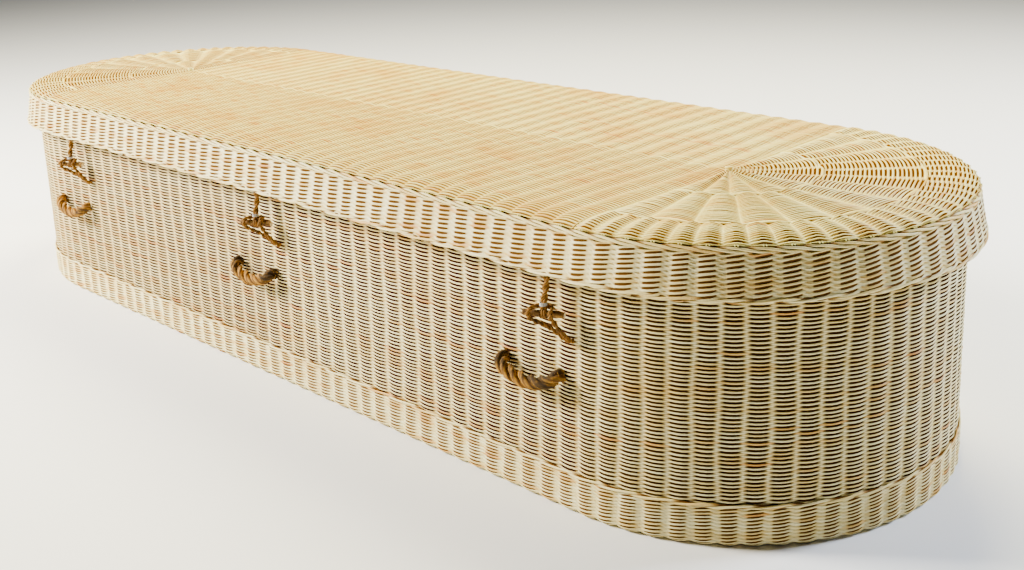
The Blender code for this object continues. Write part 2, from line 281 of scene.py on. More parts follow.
# %% Piece helper
def make_piece(name, points, faces, materials, nodes, slot, values=None, rims=None, kinds=None):
    """A mesh at the origin that rides on the body and stands for the named fixed nodes.

    The enclosed volume is a sixth of the sum of p0 . (p1 x p2) over the triangles.
    """
    mesh = bpy.data.meshes.new(name)
    mesh.from_pydata(points, [], sum((block.tolist() for block in faces), []))
    mesh.calc_loop_triangles()
    corner = np.empty(len(mesh.loop_triangles) * 3, np.int32)
    mesh.loop_triangles.foreach_get("vertices", corner)
    p0, p1, p2 = points[corner.reshape(-1, 3).T]
    volume = np.einsum("ij,ij->i", p0, np.cross(p1, p2)).sum() / 6
    if volume < 0:
        mesh.flip_normals()
    mesh.shade_smooth()
    if rims is not None:
        ends = np.empty(len(mesh.edges) * 2, np.int32)
        mesh.edges.foreach_get("vertices", ends)
        sharp = rims[ends].reshape(-1, 2).all(axis=1)
        mesh.attributes.new("sharp_edge", "BOOLEAN", "EDGE").data.foreach_set("value", sharp)
    for key, value in (values or {}).items():
        data = mesh.attributes.new(key, "FLOAT", "POINT").data
        data.foreach_set("value", np.ascontiguousarray(value, np.float32).ravel())
    for material in materials:
        mesh.materials.append(material)
    if kinds is not None:
        mesh.polygons.foreach_set("material_index", np.asarray(kinds, np.int32))
    piece = bpy.data.objects.new(name, mesh)
    bpy.context.scene.collection.objects.link(piece)
    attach(piece, "root")
    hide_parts(*nodes)
    print(f"{name}: {len(corner) // 3} triangles, {abs(volume) * 1e6:.0f} cm3")
    return piece


# %% [markdown]
# ## Ropes and cords
#
# The handles, the cords that hang from the lid and the loops on the wall are the only flexible
# pieces. Each follows a route of its own: points joined by a smooth curve.
# A curve with a bevel would give a smooth hose. A rope is strands laid round each other, so each
# strand's own line winds round the route, one turn in every lay length, and a small circle is
# carried along it.


# %% Smooth routes
def smooth_route(knots, spacing):
    """Points evenly spaced along a Catmull-Rom curve through the knots.

    Between two knots the curve is a cubic in t whose slope at each is half the difference of its
    neighbours. The first and last stretches stay straight.
    """
    knots = np.array(knots, float)
    t = np.linspace(0, 1, 24, endpoint=False)[None, :, None]
    p0, p1, p2, p3 = (knots[i:len(knots) - 3 + i, None, :] for i in range(4))
    fine = 0.5 * (2 * p1 + (p2 - p0) * t + (2 * p0 - 5 * p1 + 4 * p2 - p3) * t ** 2
                  + (3 * p1 - p0 - 3 * p2 + p3) * t ** 3)
    line = np.vstack([knots[:1], fine.reshape(-1, 3), knots[-2:]])
    run = np.concatenate([[0], np.linalg.norm(np.diff(line, axis=0), axis=1).cumsum()])
    places = np.linspace(0, run[-1], max(3, round(run[-1] / spacing) + 1))
    return np.stack([np.interp(places, run, line[:, axis]) for axis in range(3)], 1)


def route_frames(route):
    """At each point the direction, and two directions across it that turn as little as they can."""
    ahead = np.gradient(route, axis=0)
    ahead /= np.linalg.norm(ahead, axis=1, keepdims=True)
    across = np.empty_like(ahead)
    start = np.array([0.0, 0.0, 1.0]) if abs(ahead[0, 2]) < 0.9 else np.array([1.0, 0.0, 0.0])
    for i, direction in enumerate(ahead):
        start = start - direction * (start @ direction)
        start /= np.linalg.norm(start)
        across[i] = start
    return ahead, across, np.cross(ahead, across)


def run_length(route):
    return float(np.linalg.norm(np.diff(route, axis=0), axis=1).sum())


test_route = smooth_route([(0, 0, 0), (0, 0, 1), (1, 0, 1), (1, 0, 0)], 0.1)
print("a test route of", len(test_route), "points,", round(run_length(test_route), 2), "long")


# %% [markdown]
# ## Faces of tubes
#
# A tube is rings of points. Each face joins two neighbours on a ring with the same two on the
# next ring, and flat caps close the ends. With the faces worked out for one tube, adding the
# number of points before it gives those of any other, so no loop is needed.


# %% Tube faces
def tube_faces(count, rings, sides, closed=False):
    """Face blocks of tubes whose points are counted tube by tube and ring by ring.

    The quad at ring r, side s has the corners (r, s), (r, s + 1), (r + 1, s + 1), (r + 1, s).
    """
    ring = np.arange(rings if closed else rings - 1)[:, None]
    side = np.arange(sides)[None, :]
    after, beside = (ring + 1) % rings, (side + 1) % sides
    quads = np.stack([ring * sides + side, ring * sides + beside, after * sides + beside,
                      after * sides + side], -1).reshape(-1, 4)
    first = (np.arange(count) * rings * sides)[:, None, None]
    whole = (quads[None] + first).reshape(-1, 4)
    if closed:
        return [whole]
    caps = np.stack([np.arange(sides)[::-1], (rings - 1) * sides + np.arange(sides)])
    return [whole, (caps[None] + first).reshape(-1, sides)]


def joined(*parts):
    """Several (points, face blocks, values) as one; corners shift by the points before them."""
    shifts = np.cumsum([0] + [len(part[0]) for part in parts[:-1]])
    faces = [block + shift for part, shift in zip(parts, shifts) for block in part[1]]
    values = {key: np.concatenate([part[2][key] for part in parts]) for key in parts[0][2]}
    return np.vstack([part[0] for part in parts]), faces, values


print("faces of one tube", sum(len(block) for block in tube_faces(1, 10, 8)))

# %% [markdown]
# ## Strands laid round a route
#
# Three values go with the points, for the material: how far along the rope a point is, which
# strand it belongs to, and whether it is on a yarn or between two. They turn with the strand, as
# real yarns do, which no texture in space would. A strand's yarns turn 1.7 times while the strand
# turns once, and stand a tenth of its radius proud.

# %% Laid strands
YARN_TURN, YARN_RELIEF = 1.7, 0.10


def laid_strands(route, count, core, radius, lay, sides, start=0.0, ridges=0):
    """Points, face blocks and values of strands laid round a route.

    Strand k's line is the route plus core times (cos a across + sin a up), where a is a turn for
    each lay length and k of count turns more. Its circle has the radius, a little wavy where
    ridges tell of the yarns in it. The ends are flat and closed.
    """
    ahead, across, up = route_frames(route)
    run = np.concatenate([[0], np.linalg.norm(np.diff(route, axis=0), axis=1).cumsum()])
    a = 2 * np.pi * (run[None, :] / lay + np.arange(count)[:, None] / count) + start
    b = np.linspace(0, 2 * np.pi, sides, endpoint=False)
    turned = b[None, None] - YARN_TURN * a[..., None]
    size = radius * (1 + (YARN_RELIEF if ridges else 0.0) * np.cos(ridges * turned))
    over = core * np.cos(a)[..., None] + size * np.cos(b)
    side = core * np.sin(a)[..., None] + size * np.sin(b)
    points = (route[None, :, None] + over[..., None] * across[None, :, None]
              + side[..., None] * up[None, :, None])
    values = {
        "along": np.broadcast_to(run[None, :, None], points.shape[:3]),
        "strand": np.broadcast_to(np.arange(count)[:, None, None] / count, points.shape[:3]),
        "yarn": np.broadcast_to(0.5 + 0.5 * np.cos(3 * turned), points.shape[:3]),
    }
    faces = tube_faces(count, len(route), sides)
    return points.reshape(-1, 3), faces, {key: value.ravel() for key, value in values.items()}


test_points = laid_strands(test_route, 3, 0.02, 0.02, 0.5, 8)[0]
print("points of a test rope", len(test_points))

# %% [markdown]
# ## Rope and cord finishes
#
# The handles are thick hand-laid rope of coarse plant fibre, golden brown, with dark grey and
# black stretches where they have been handled. Colour follows the strand and its yarns, and
# blotches a few centimetres long darken it. The thin cords are the same fibre, less worn. Coir
# is rough, so it has hardly a highlight, and its roughness is high.


# %% Rope materials
ROPE_FIBRE, HANDLE_BLOTCH, CORD_BLOTCH = 0.625 * MM, 22.222 * MM, 16.667 * MM


def make_rope(name, golden, brown, dark, blotch, low, high):
    """Golden yarns with brown between them, mixed with dark blotches along the rope."""
    made, tree, shader = new_material(name)
    place = add_node(tree, "ShaderNodeTexCoord").outputs["Object"]
    yarn = add_node(tree, "ShaderNodeAttribute", {"attribute_name": "yarn"}).outputs["Fac"]
    # single fibres are a quarter of a millimetre thick, and are drawn coarser so that they show
    fibres = add_node(tree, "ShaderNodeTexNoise", Vector=place, Scale=1 / ROPE_FIBRE, Detail=3.0)
    mixed = add_node(tree, "ShaderNodeMath", {"operation": "MULTIPLY"}, i0=yarn,
                     i1=fibres.outputs["Fac"]).outputs[0]
    yarns = add_node(tree, "ShaderNodeValToRGB", stops=((0.0, brown), (0.55, golden)),
                     Fac=mixed).outputs["Color"]
    blotches = add_node(tree, "ShaderNodeTexNoise", Vector=place, Scale=1 / blotch, Detail=3.0)
    worn = add_node(tree, "ShaderNodeAttribute", {"attribute_name": "worn"}).outputs["Fac"]
    darker = add_node(tree, "ShaderNodeMath", {"operation": "MULTIPLY_ADD"}, i0=worn, i1=0.22,
                      i2=blotches.outputs["Fac"]).outputs[0]
    share = add_node(tree, "ShaderNodeMapRange", Value=darker, i1=low, i2=high,
                     i3=0.0, i4=0.9).outputs[0]
    colour = add_node(tree, "ShaderNodeMix", MIX, i0=share, i6=yarns, i7=linear(dark)).outputs[2]
    bump = add_node(tree, "ShaderNodeBump", Strength=0.6, Distance=0.0004,
                    Height=fibres.outputs["Fac"]).outputs[0]
    tree.links.new(colour, shader.inputs["Base Color"])
    tree.links.new(bump, shader.inputs["Normal"])
    shader.inputs["Roughness"].default_value = 0.8
    shader.inputs["Specular IOR Level"].default_value = 0.2
    return made


handle_rope = make_rope("hand-laid coir rope", "#C08A2C", "#54320A", "#261A05", HANDLE_BLOTCH,
                        0.52, 0.70)
thin_cord = make_rope("twisted coir cord", "#A87426", "#4C300C", "#281A06", CORD_BLOTCH, 0.52, 0.76)
print("rope materials", handle_rope.name, "and", thin_cord.name)

# %% [markdown]
# ## The rope handles
#
# Each handle leaves the wall squarely, bows out 17 mm, sags 15 mm and goes back in 94 mm
# further on. Its route is nine given points on a smooth curve. A hanging chain could be
# simulated, but rope this short and thick is stiff and keeps the bow it was made with.

# %% Handle routes
HANDLE_SPACING, HANDLE_OFFSET, HANDLE_HEIGHT, HANDLE_SPAN = 0.588, -0.009, 0.178, 0.094
HANDLE_REACH, HANDLE_SAG, HANDLE_ROPE = 0.017, 0.015, 0.016
HANDLE_LEG = ((1.0, 0.28, 0.0), (0.92, 0.70, 0.2), (0.66, 0.95, 0.6))


def wall_point(x, height, reach):
    """A point in front of the long wall's crests, reach away from them."""
    return (x, -wall_radius(height) - reach, height)


def clear_reach(diameter):
    """Where the flat end of a cord that leaves the wall level is just clear of its lean."""
    return GAP + WALL_LEAN * diameter / 2


def handle_knots(x):
    """Out of the wall, round the bow and back in, as shares of the span, reach and sag."""
    def leg(direction):
        end = wall_point(x + direction * HANDLE_SPAN / 2, HANDLE_HEIGHT, clear_reach(HANDLE_ROPE))
        rest = [wall_point(x + direction * along * HANDLE_SPAN / 2,
                           HANDLE_HEIGHT - down * HANDLE_SAG, out * HANDLE_REACH)
                for along, out, down in HANDLE_LEG]
        return [end] + rest
    return leg(-1) + [wall_point(x, HANDLE_HEIGHT - HANDLE_SAG, HANDLE_REACH)] + leg(1)[::-1]


def to_side(points, side):
    """The back repeats the front, turned half round."""
    return np.asarray(points) * np.array([side, side, 1.0])


print("handle rope length", round(run_length(smooth_route(handle_knots(0), 0.002)), 4))

# %% [markdown]
# ## Loose fibres
#
# Where a rope goes through the weave it chafes, and single fibres stand out. Hair could be grown
# there, but two dozen thin bent tubes are enough, and they are plain mesh like everything else.

# %% Loose fibres
rng = np.random.default_rng(7)
SIDES = ((1, "front"), (-1, "back"))
FIBRE_RADIUS, FIBRE_SCATTER = 0.00022, 0.0035


def stray_fibres(where, along, count, length, rng):
    """Thin fibres that leave a point in random directions.

    A fibre's line is where + away times t, and droops by an amount that grows as t squared.
    """
    parts = []
    for _ in range(count):
        away = along + rng.normal(0, 0.75, 3)
        away /= np.linalg.norm(away)
        t = np.linspace(0, 1, 6)[:, None]
        reach = length * rng.uniform(0.5, 1.2)
        droop = np.array([0, 0, -1.0]) * reach * rng.uniform(0.0, 0.5)
        line = where + rng.normal(0, FIBRE_SCATTER, 3) + away * reach * t + droop * t ** 2
        parts.append(laid_strands(line, 1, 0.0, FIBRE_RADIUS, 1.0, 3))
    return joined(*parts)


print("a fibre is", FIBRE_RADIUS * 2e3, "mm thick")

# %% [markdown]
# ## Laying the six handles
#
# Three strands of 9 mm run 4.6 mm from the middle line, which makes a rope of 16 mm between its
# hollows, and turn once in 56 mm.

# %% Handles
HANDLE_STRAND, HANDLE_CORE, HANDLE_LAY = 0.0046, 0.0046, 0.056
WORN_RIGHT, WORN_LEFT = 0.032, 0.014
for side, side_name in SIDES:
    for number, place in ((1, -1), (2, 0), (3, 1)):
        knots = handle_knots(place * HANDLE_SPACING + HANDLE_OFFSET)
        route = to_side(smooth_route(knots, 0.0018), side)
        node = f"rope_handle_{side_name}_{number}"
        points, faces, values = laid_strands(
            route, 3, HANDLE_CORE, HANDLE_STRAND, HANDLE_LAY, 12, start=rng.uniform(0, 6), ridges=5)
        run = values["along"]
        values["worn"] = (0.2 if number == 1 else 1.0) * (
            1.15 * np.exp(-((run.max() - run) / WORN_RIGHT) ** 2)
            + 0.9 * np.exp(-(run / WORN_LEFT) ** 2))
        handle = make_piece(f"laid_{node}", points, faces, [handle_rope], [node], "rope", values)
        outward = np.array([0.0, -side, 0.0])
        fibres = joined(*(stray_fibres(route[place], outward * 0.6 + np.array([lean * side, 0, 0]),
                                       26, 0.013, rng)
                          for place, lean in ((3, -0.8), (-4, 0.8))))
        fuzz = make_piece(f"fibres_{node}", *fibres[:2], [handle_rope], [node], "rope", fibres[2])

# %% [markdown]
# ## The toggle closures
#
# A cord of 7 mm hangs from the lid's rim and holds a short twig across its end. A thinner loop
# from the wall hooks over the twig and keeps the lid shut. The loop is one cord that goes up from
# the wall, round the twig's outer side, behind the hanging cord and back. A torus would be
# quicker, but then it would cut through twig and cord instead of holding them.

# %% Closure routes
CLOSURE_OFFSET, PEG_HEIGHT, PEG_REACH = 0.030, LID_RIM_HEIGHT - 0.044, 0.022
PEG_LENGTH, PEG_DIAMETER, PEG_TURN = 0.052, 0.008, math.radians(25)
LID_CORD, LOOP_CORD = 0.007, 0.005
LOOP_ANCHOR_DROP, LOOP_ANCHOR_SHIFT, LOOP_ANCHOR_SPREAD = 0.034, 0.024, 0.007
LOOP_GRIP, LOOP_CLEAR, LOOP_RISE, LOOP_BOW, LOOP_CROSSING = 0.012, 0.0012, 0.45, 0.72, 0.7
LOOP_WRAP = (math.radians(-60), 0.0, math.radians(52))


def lid_cord_knots(x):
    """Straight down from under the lid's rim to the top of the peg."""
    rim_reach = LID_RIM_RADIUS - LID_WALL / 2 - wall_radius(LID_RIM_HEIGHT)
    top = np.array([x, -wall_radius(LID_RIM_HEIGHT) - rim_reach, LID_RIM_HEIGHT - GAP])
    foot = np.array(wall_point(x, PEG_HEIGHT, PEG_REACH)) + (0, 0, PEG_DIAMETER / 2 + 2 * GAP)
    drop = np.array([0, 0, LID_CORD])
    return [top, top - drop, (top + foot) / 2, foot + drop, foot]


def loop_knots(x):
    """Up from the wall, over the peg's outer side, behind the lid cord and back the same way."""
    hug = (PEG_DIAMETER + LOOP_CORD) / 2 + LOOP_CLEAR
    behind = PEG_REACH - (LID_CORD + LOOP_CORD) / 2 - LOOP_CLEAR
    low, anchor_x = PEG_HEIGHT - LOOP_ANCHOR_DROP, x + LOOP_ANCHOR_SHIFT

    def leg(direction):
        grip = direction * LOOP_GRIP
        axis = PEG_REACH - grip * math.tan(PEG_TURN)
        end = anchor_x + direction * LOOP_ANCHOR_SPREAD / 2
        wrap = [wall_point(x + grip, PEG_HEIGHT + hug * math.sin(angle),
                           axis + hug * math.cos(angle) / math.cos(PEG_TURN))
                for angle in LOOP_WRAP]
        return [wall_point(end, low, clear_reach(LOOP_CORD)), wall_point(end, low, LOOP_CORD),
                wall_point((end + x + grip) / 2, low + LOOP_RISE * LOOP_ANCHOR_DROP,
                           LOOP_BOW * PEG_REACH),
                *wrap,
                wall_point(x + LOOP_CROSSING * grip, PEG_HEIGHT + hug, (axis + behind) / 2)]
    return leg(-1) + [wall_point(x, PEG_HEIGHT + hug, behind)] + leg(1)[::-1]


print("lid cord", round(run_length(smooth_route(lid_cord_knots(0), 0.002)), 4),
      "loop", round(run_length(smooth_route(loop_knots(0), 0.002)), 4))

# %% [markdown]
# ## Bark, cut wood and thread
#
# The twig keeps its bark: dull brown with paler worn spots a few millimetres wide. Its cut ends
# are pale, dry wood. White cotton thread whips the cord just above the twig. All are matt, so
# their roughness is 0.7 to 0.8. Photographs of bark could be wrapped round it, but a noise
# texture is enough for a twig of 8 mm and needs no file.

# %% Small finishes
BARK_PATCH, WOOD_GRAIN, THREAD_GRAIN = 3.8462 * MM, 1.1111 * MM, 0.8333 * MM


def make_bark():
    """Brown bark, rough, with paler worn spots."""
    made, tree, shader = new_material("twig bark, rough")
    place = add_node(tree, "ShaderNodeTexCoord").outputs["Object"]
    patches = add_node(tree, "ShaderNodeTexNoise", Vector=place, Scale=1 / BARK_PATCH,
                       Detail=4.0)
    colour = add_node(tree, "ShaderNodeValToRGB", Fac=patches.outputs["Fac"],
                      stops=((0.3, "#3A2408"), (0.52, "#74501A"), (0.72, "#B08030"))).outputs[0]
    bump = add_node(tree, "ShaderNodeBump", Strength=0.7, Distance=0.0004,
                    Height=patches.outputs["Fac"]).outputs[0]
    tree.links.new(colour, shader.inputs["Base Color"])
    tree.links.new(bump, shader.inputs["Normal"])
    shader.inputs["Roughness"].default_value = 0.75
    shader.inputs["Specular IOR Level"].default_value = 0.25
    return made


def make_plain(name, low, high, grain, roughness):
    """Two near colours mixed by fine noise, for small things such as cut wood and thread."""
    made, tree, shader = new_material(name)
    place = add_node(tree, "ShaderNodeTexCoord").outputs["Object"]
    noise = add_node(tree, "ShaderNodeTexNoise", Vector=place, Scale=1 / grain, Detail=3.0)
    colour = add_node(tree, "ShaderNodeValToRGB", stops=((0.35, low), (0.65, high)),
                      Fac=noise.outputs["Fac"])
    tree.links.new(colour.outputs["Color"], shader.inputs["Base Color"])
    shader.inputs["Roughness"].default_value = roughness
    return made


bark = make_bark()
cut_wood = make_plain("cut twig end, dry wood", "#D8BE8C", "#EBD9B0", WOOD_GRAIN, 0.7)
thread = make_plain("whipping thread, off-white cotton", "#8E8A84", "#CFCCC4", THREAD_GRAIN, 0.8)
print("small finishes", bark.name, cut_wood.name, thread.name)

# %% [markdown]
# ## A twig
#
# A cylinder would look turned on a lathe. Rings of slightly different sizes on a slightly bent
# line look like a twig, and two small rings at each end round off the cut.

# %% Twig
TWIG_SIDES, TWIG_RINGS = 14, 13


def twig(middle, direction, length, diameter, rng):
    """A slightly bent, lumpy rod with rounded cut ends, as rings along its axis.

    The axis bends up by a share of the length times a sine, and each point's distance from it is
    the radius times one plus a small random number.
    """
    t = np.array([-0.5, -0.495, -0.47, *np.linspace(-0.42, 0.42, TWIG_RINGS), 0.47, 0.495, 0.5])
    lumps = 1 + 0.06 * rng.standard_normal(TWIG_RINGS)
    ring_size = np.array([0.80, 0.93, 1.0, *lumps, 1.0, 0.93, 0.80])
    around = np.linspace(0, 2 * np.pi, TWIG_SIDES, endpoint=False)
    up = np.array([0.0, 0.0, 1.0])
    side = np.cross(direction, up)
    bend = 0.012 * length * np.sin(2.2 * np.pi * t)
    centre = middle + length * t[:, None] * direction + bend[:, None] * up
    bumps = 1 + 0.04 * rng.standard_normal((len(t), TWIG_SIDES))
    size = diameter / 2 * ring_size[:, None] * bumps
    points = (centre[:, None] + (size * np.cos(around))[..., None] * side
              + (size * np.sin(around))[..., None] * up)
    faces = tube_faces(1, len(t), TWIG_SIDES)
    # the first and last ring of quads and the two caps are cut wood
    kinds = np.zeros(len(faces[0]) + 2, int)
    kinds[:TWIG_SIDES] = kinds[-TWIG_SIDES - 2:] = 1
    return points.reshape(-1, 3), faces, kinds


print("rings of a twig", TWIG_RINGS + 6)

# %% [markdown]
# ## Thread and cord wound round a rod
#
# The same coil serves the cord that ties the twig and the thread that whips the cord's end. Its
# line is a helix whose turns lie side by side, and a small circle is carried along it.


# %% Coil
def coil(route_middle, axis, radius, thread_radius, turns, sides=6, per_turn=14):
    """A thread wound round an axis: a helix one thread wide a turn, with a circle along it."""
    across = np.cross(axis, [0.31, 0.17, 0.93])
    across /= np.linalg.norm(across)
    up = np.cross(axis, across)
    a = np.linspace(0, 2 * np.pi * turns, int(turns * per_turn))[:, None]
    line = (route_middle + (a / (2 * np.pi) - turns / 2) * 2 * thread_radius * axis
            + radius * (np.cos(a) * across + np.sin(a) * up))
    return laid_strands(line, 1, 0.0, thread_radius, 1.0, sides)


test_coil = coil(np.zeros(3), np.array([0.0, 0.0, 1.0]), 0.005, 0.0005, 4)[0]
print("a whipping is", round(float(np.ptp(test_coil[:, 2])) * 1e3, 1), "mm high")

# %% [markdown]
# ## Twig and lashing
#
# The twig is tied on with a few turns of cord round its middle. A real knot would pass under
# itself, but at this size only the turns show.

# %% Twig and lashing
LASHING_RADIUS, LASHING_OUT, LASHING_TURNS = 0.0014, 0.0013, 2.4


def tied_twig(ending, middle, direction):
    """The twig and its lashing, which both stand for the fixed model's peg."""
    node = f"toggle_peg_{ending}"
    points, faces, kinds = twig(middle, direction, PEG_LENGTH, PEG_DIAMETER, rng)
    peg = make_piece(f"twig_{ending}", points, faces, [bark, cut_wood], [node], "bark_peg",
                     kinds=kinds)
    points, faces, values = coil(middle, direction, PEG_DIAMETER / 2 + LASHING_OUT,
                                 LASHING_RADIUS, LASHING_TURNS)
    return [peg, make_piece(f"lashing_{ending}", points, faces, [thin_cord], [node], "rope", values)]


print("a lashing of", LASHING_TURNS, "turns")

# %% [markdown]
# ## Hanging cord and loop
#
# Both are two-strand cord on a route of their own. What hangs on the lid's cord goes with it:
# its twig, its lashing and the thread at its end.

# %% Hanging cord and loop
LID_CORD_LAY, LID_CORD_CORE, LID_CORD_STRAND, LID_CORD_LENGTH = 0.026, 0.0020, 0.0024, 0.042
LOOP_LAY, LOOP_CORE, LOOP_STRAND = 0.018, 0.0014, 0.0018
THREAD_RADIUS, THREAD_OUT, THREAD_TURNS, WHIPPING_RISE = 0.0005, 0.0010, 4, 0.0075


def laid_cord(node, route, core, strand, lay, sides, ridges):
    """Two strands laid round the route, from a random start."""
    points, faces, values = laid_strands(route, 2, core, strand, lay, sides,
                                         start=rng.uniform(0, 6), ridges=ridges)
    return make_piece(f"laid_{node}", points, faces, [thin_cord], [node], "rope", values)


def hanging_cord(ending, route):
    """The lid's cord with its whipping."""
    node = f"lid_cord_{ending}"
    cord = laid_cord(node, route, LID_CORD_CORE, LID_CORD_STRAND, LID_CORD_LAY, 10, 4)
    points, faces, values = coil(route[-1] + (0, 0, WHIPPING_RISE), np.array([0, 0, 1.0]),
                                 LID_CORD / 2 + THREAD_OUT, THREAD_RADIUS, THREAD_TURNS)
    whipping = make_piece(f"whipping_{ending}", points, faces, [thread], [node], "rope", values)


def wall_loop(ending, route):
    """The loop from the wall that holds the twig."""
    loop = laid_cord(f"peg_loop_{ending}", route, LOOP_CORE, LOOP_STRAND, LOOP_LAY, 8, 3)


print("lid cord", LID_CORD_LENGTH, "m, its thread", THREAD_RADIUS * 2e3, "mm thick")

# %% [markdown]
# ## The twelve cords and six twigs
#
# Each closure is made in place, 39 mm beside the middle of its handle, with its twig turned 25
# degrees. One closure could be copied six times, but each twig and cord gets its own lumps and
# its own start, as things made by hand have.

# %% Closures
for side, side_name in SIDES:
    for number, offset in ((1, -HANDLE_SPACING), (2, 0.0), (3, HANDLE_SPACING)):
        x = offset + CLOSURE_OFFSET
        ending = f"{side_name}_{number}"
        middle = to_side(wall_point(x, PEG_HEIGHT, PEG_REACH), side)
        direction = to_side((math.cos(PEG_TURN), math.sin(PEG_TURN), 0.0), side)
        tied = tied_twig(ending, middle, direction)
        hanging_cord(ending, to_side(smooth_route(lid_cord_knots(x), 0.0016), side))
        wall_loop(ending, to_side(smooth_route(loop_knots(x), 0.0014), side))

# %% [markdown]
# ## How a woven surface is shaped
#
# Seen from outside, weaving is a relief: at each place the highest strand or stake shows. A
# weaver swings like a cosine, in front of one stake and behind the next. In the plain weave of
# the wall the rows beside each other swing the opposite way, so neighbouring columns are half a
# pitch out of step. In the paired weave of the foot and the skirt two weavers twist round each
# other, so every stake has a stroke at the same level, and the strokes slant up to the right.
#
# A bump map would be lighter, but it leaves the outline smooth, and the outline of a basket isn't.

# %% Weaves
class Weave:
    """A weave's sizes in metres; slant is the rise of a stroke in pitches a stake.

    strand is a weaver's radius and swing how far its line goes out over a stake and in behind
    the next one. phase is how far, in pitches, every second column is out of step. depth is how
    deep the relief goes into the gap between two strands; the dark below is painted shade. flat
    makes a stroke lie level over most of a wide rib.
    """

    def __init__(self, pitch, strand, swing, phase, slant, flat=0.0, depth=1.7 * MM):
        self.pitch, self.strand, self.swing = pitch, strand, swing
        self.phase, self.slant, self.flat, self.depth = phase, slant, flat, depth
        self.crest = swing + strand
        # the strokes of a twisted pair swell between the stakes and show more of their sides, and
        # the second value is how strong the painted shade on a strand's sides is
        self.swell, self.side_shade = (0.30, 0.16) if slant else (0.05, 0.13)


plain_wall = Weave(5.1 * MM, 1.30 * MM, 2.9 * MM, 0.5, 0.0)
paired_foot = Weave(4.77 * MM, 1.40 * MM, 2.9 * MM, 0.0, 0.34)
paired_skirt = Weave(5.7 * MM, 1.70 * MM, 2.9 * MM, 0.0, 0.42)
plain_top = Weave(5.52 * MM, 1.42 * MM, 2.3 * MM, 0.5, 0.0, depth=2.4 * MM)
print("a strand is", round(plain_wall.strand * 2e3, 1), "to", round(paired_skirt.strand * 2e3, 1),
      "mm thick")

# %% [markdown]
# ## Slant
#
# On the round ends the strokes of the paired weave slant twice as much as on the sides. One slant
# all round would be simpler, but the strokes would look too level there. The slant changes from
# stake to stake and not within one, so no stroke has a kink.

# %% Slant
CORNER_LEAD, CORNER_FADE, BACK_CORNER_FADE = 6, 8, 3


def slant_at(weave, stakes):
    """The slant times one to two: it grows over eight stakes and falls back over three."""
    place = np.mod(np.floor(stakes), AROUND / 2)
    turned = np.minimum((place - SIDE_STAKES + CORNER_LEAD) / CORNER_FADE,
                        (AROUND / 2 - place) / BACK_CORNER_FADE)
    return weave.slant * (1 + np.clip(turned, 0, 1))


print("slant of the skirt's strokes", slant_at(paired_skirt, np.array([20.5, 56.5])).tolist())

# %% [markdown]
# ## Rods and hands
#
# A weaver is one rod until it runs out. A table of random tones, read by strand and by place,
# keeps a rod's colour along its strand and lets it drift slowly. A second table moves each single
# stroke a little in or out, as hands do. Both have fixed seeds, so the basket is always the same.

# %% Rod tones
ROD_TONES = np.random.default_rng(11).beta(1.5, 2.2, (263, 41))
STROKE_JITTER = np.random.default_rng(12).normal(0, 1, (149, 251))
TONE_STAKES = 3.5


def rod_tone(strand, stakes):
    """A rod's colour drifts slowly along it: the table is read between two of its columns."""
    count, columns = ROD_TONES.shape
    row = np.mod(strand, count).astype(int)
    place = np.mod(stakes / TONE_STAKES + row * 0.37, columns)
    left = np.floor(place).astype(int) % columns
    share = place - np.floor(place)
    return ROD_TONES[row, left] * (1 - share) + ROD_TONES[row, (left + 1) % columns] * share


def stroke_jitter(stake, row):
    """The table's value for the stroke of one strand over one stake."""
    count, columns = STROKE_JITTER.shape
    return STROKE_JITTER[np.mod(stake, count).astype(int), np.mod(row, columns).astype(int)]


print("rod tones from", round(ROD_TONES.min(), 2), "to", round(ROD_TONES.max(), 2))

# %% [markdown]
# ## The relief
#
# At each place three strokes could be in front: the one over the nearest stake and those over its
# neighbours. All three heights are worked out for the whole grid, and the greatest is kept.
# Between two strokes one looks into a hollow, which gets painted shade: full in the middle of a
# stake and fading where the hollow closes towards its sides.

# %% Relief
# where the painted shade of a hollow reaches, how fast it fades, and where side shade starts
HOLLOW_END, HOLLOW_FADE, SIDE_FROM = 0.43, 0.25, 0.72


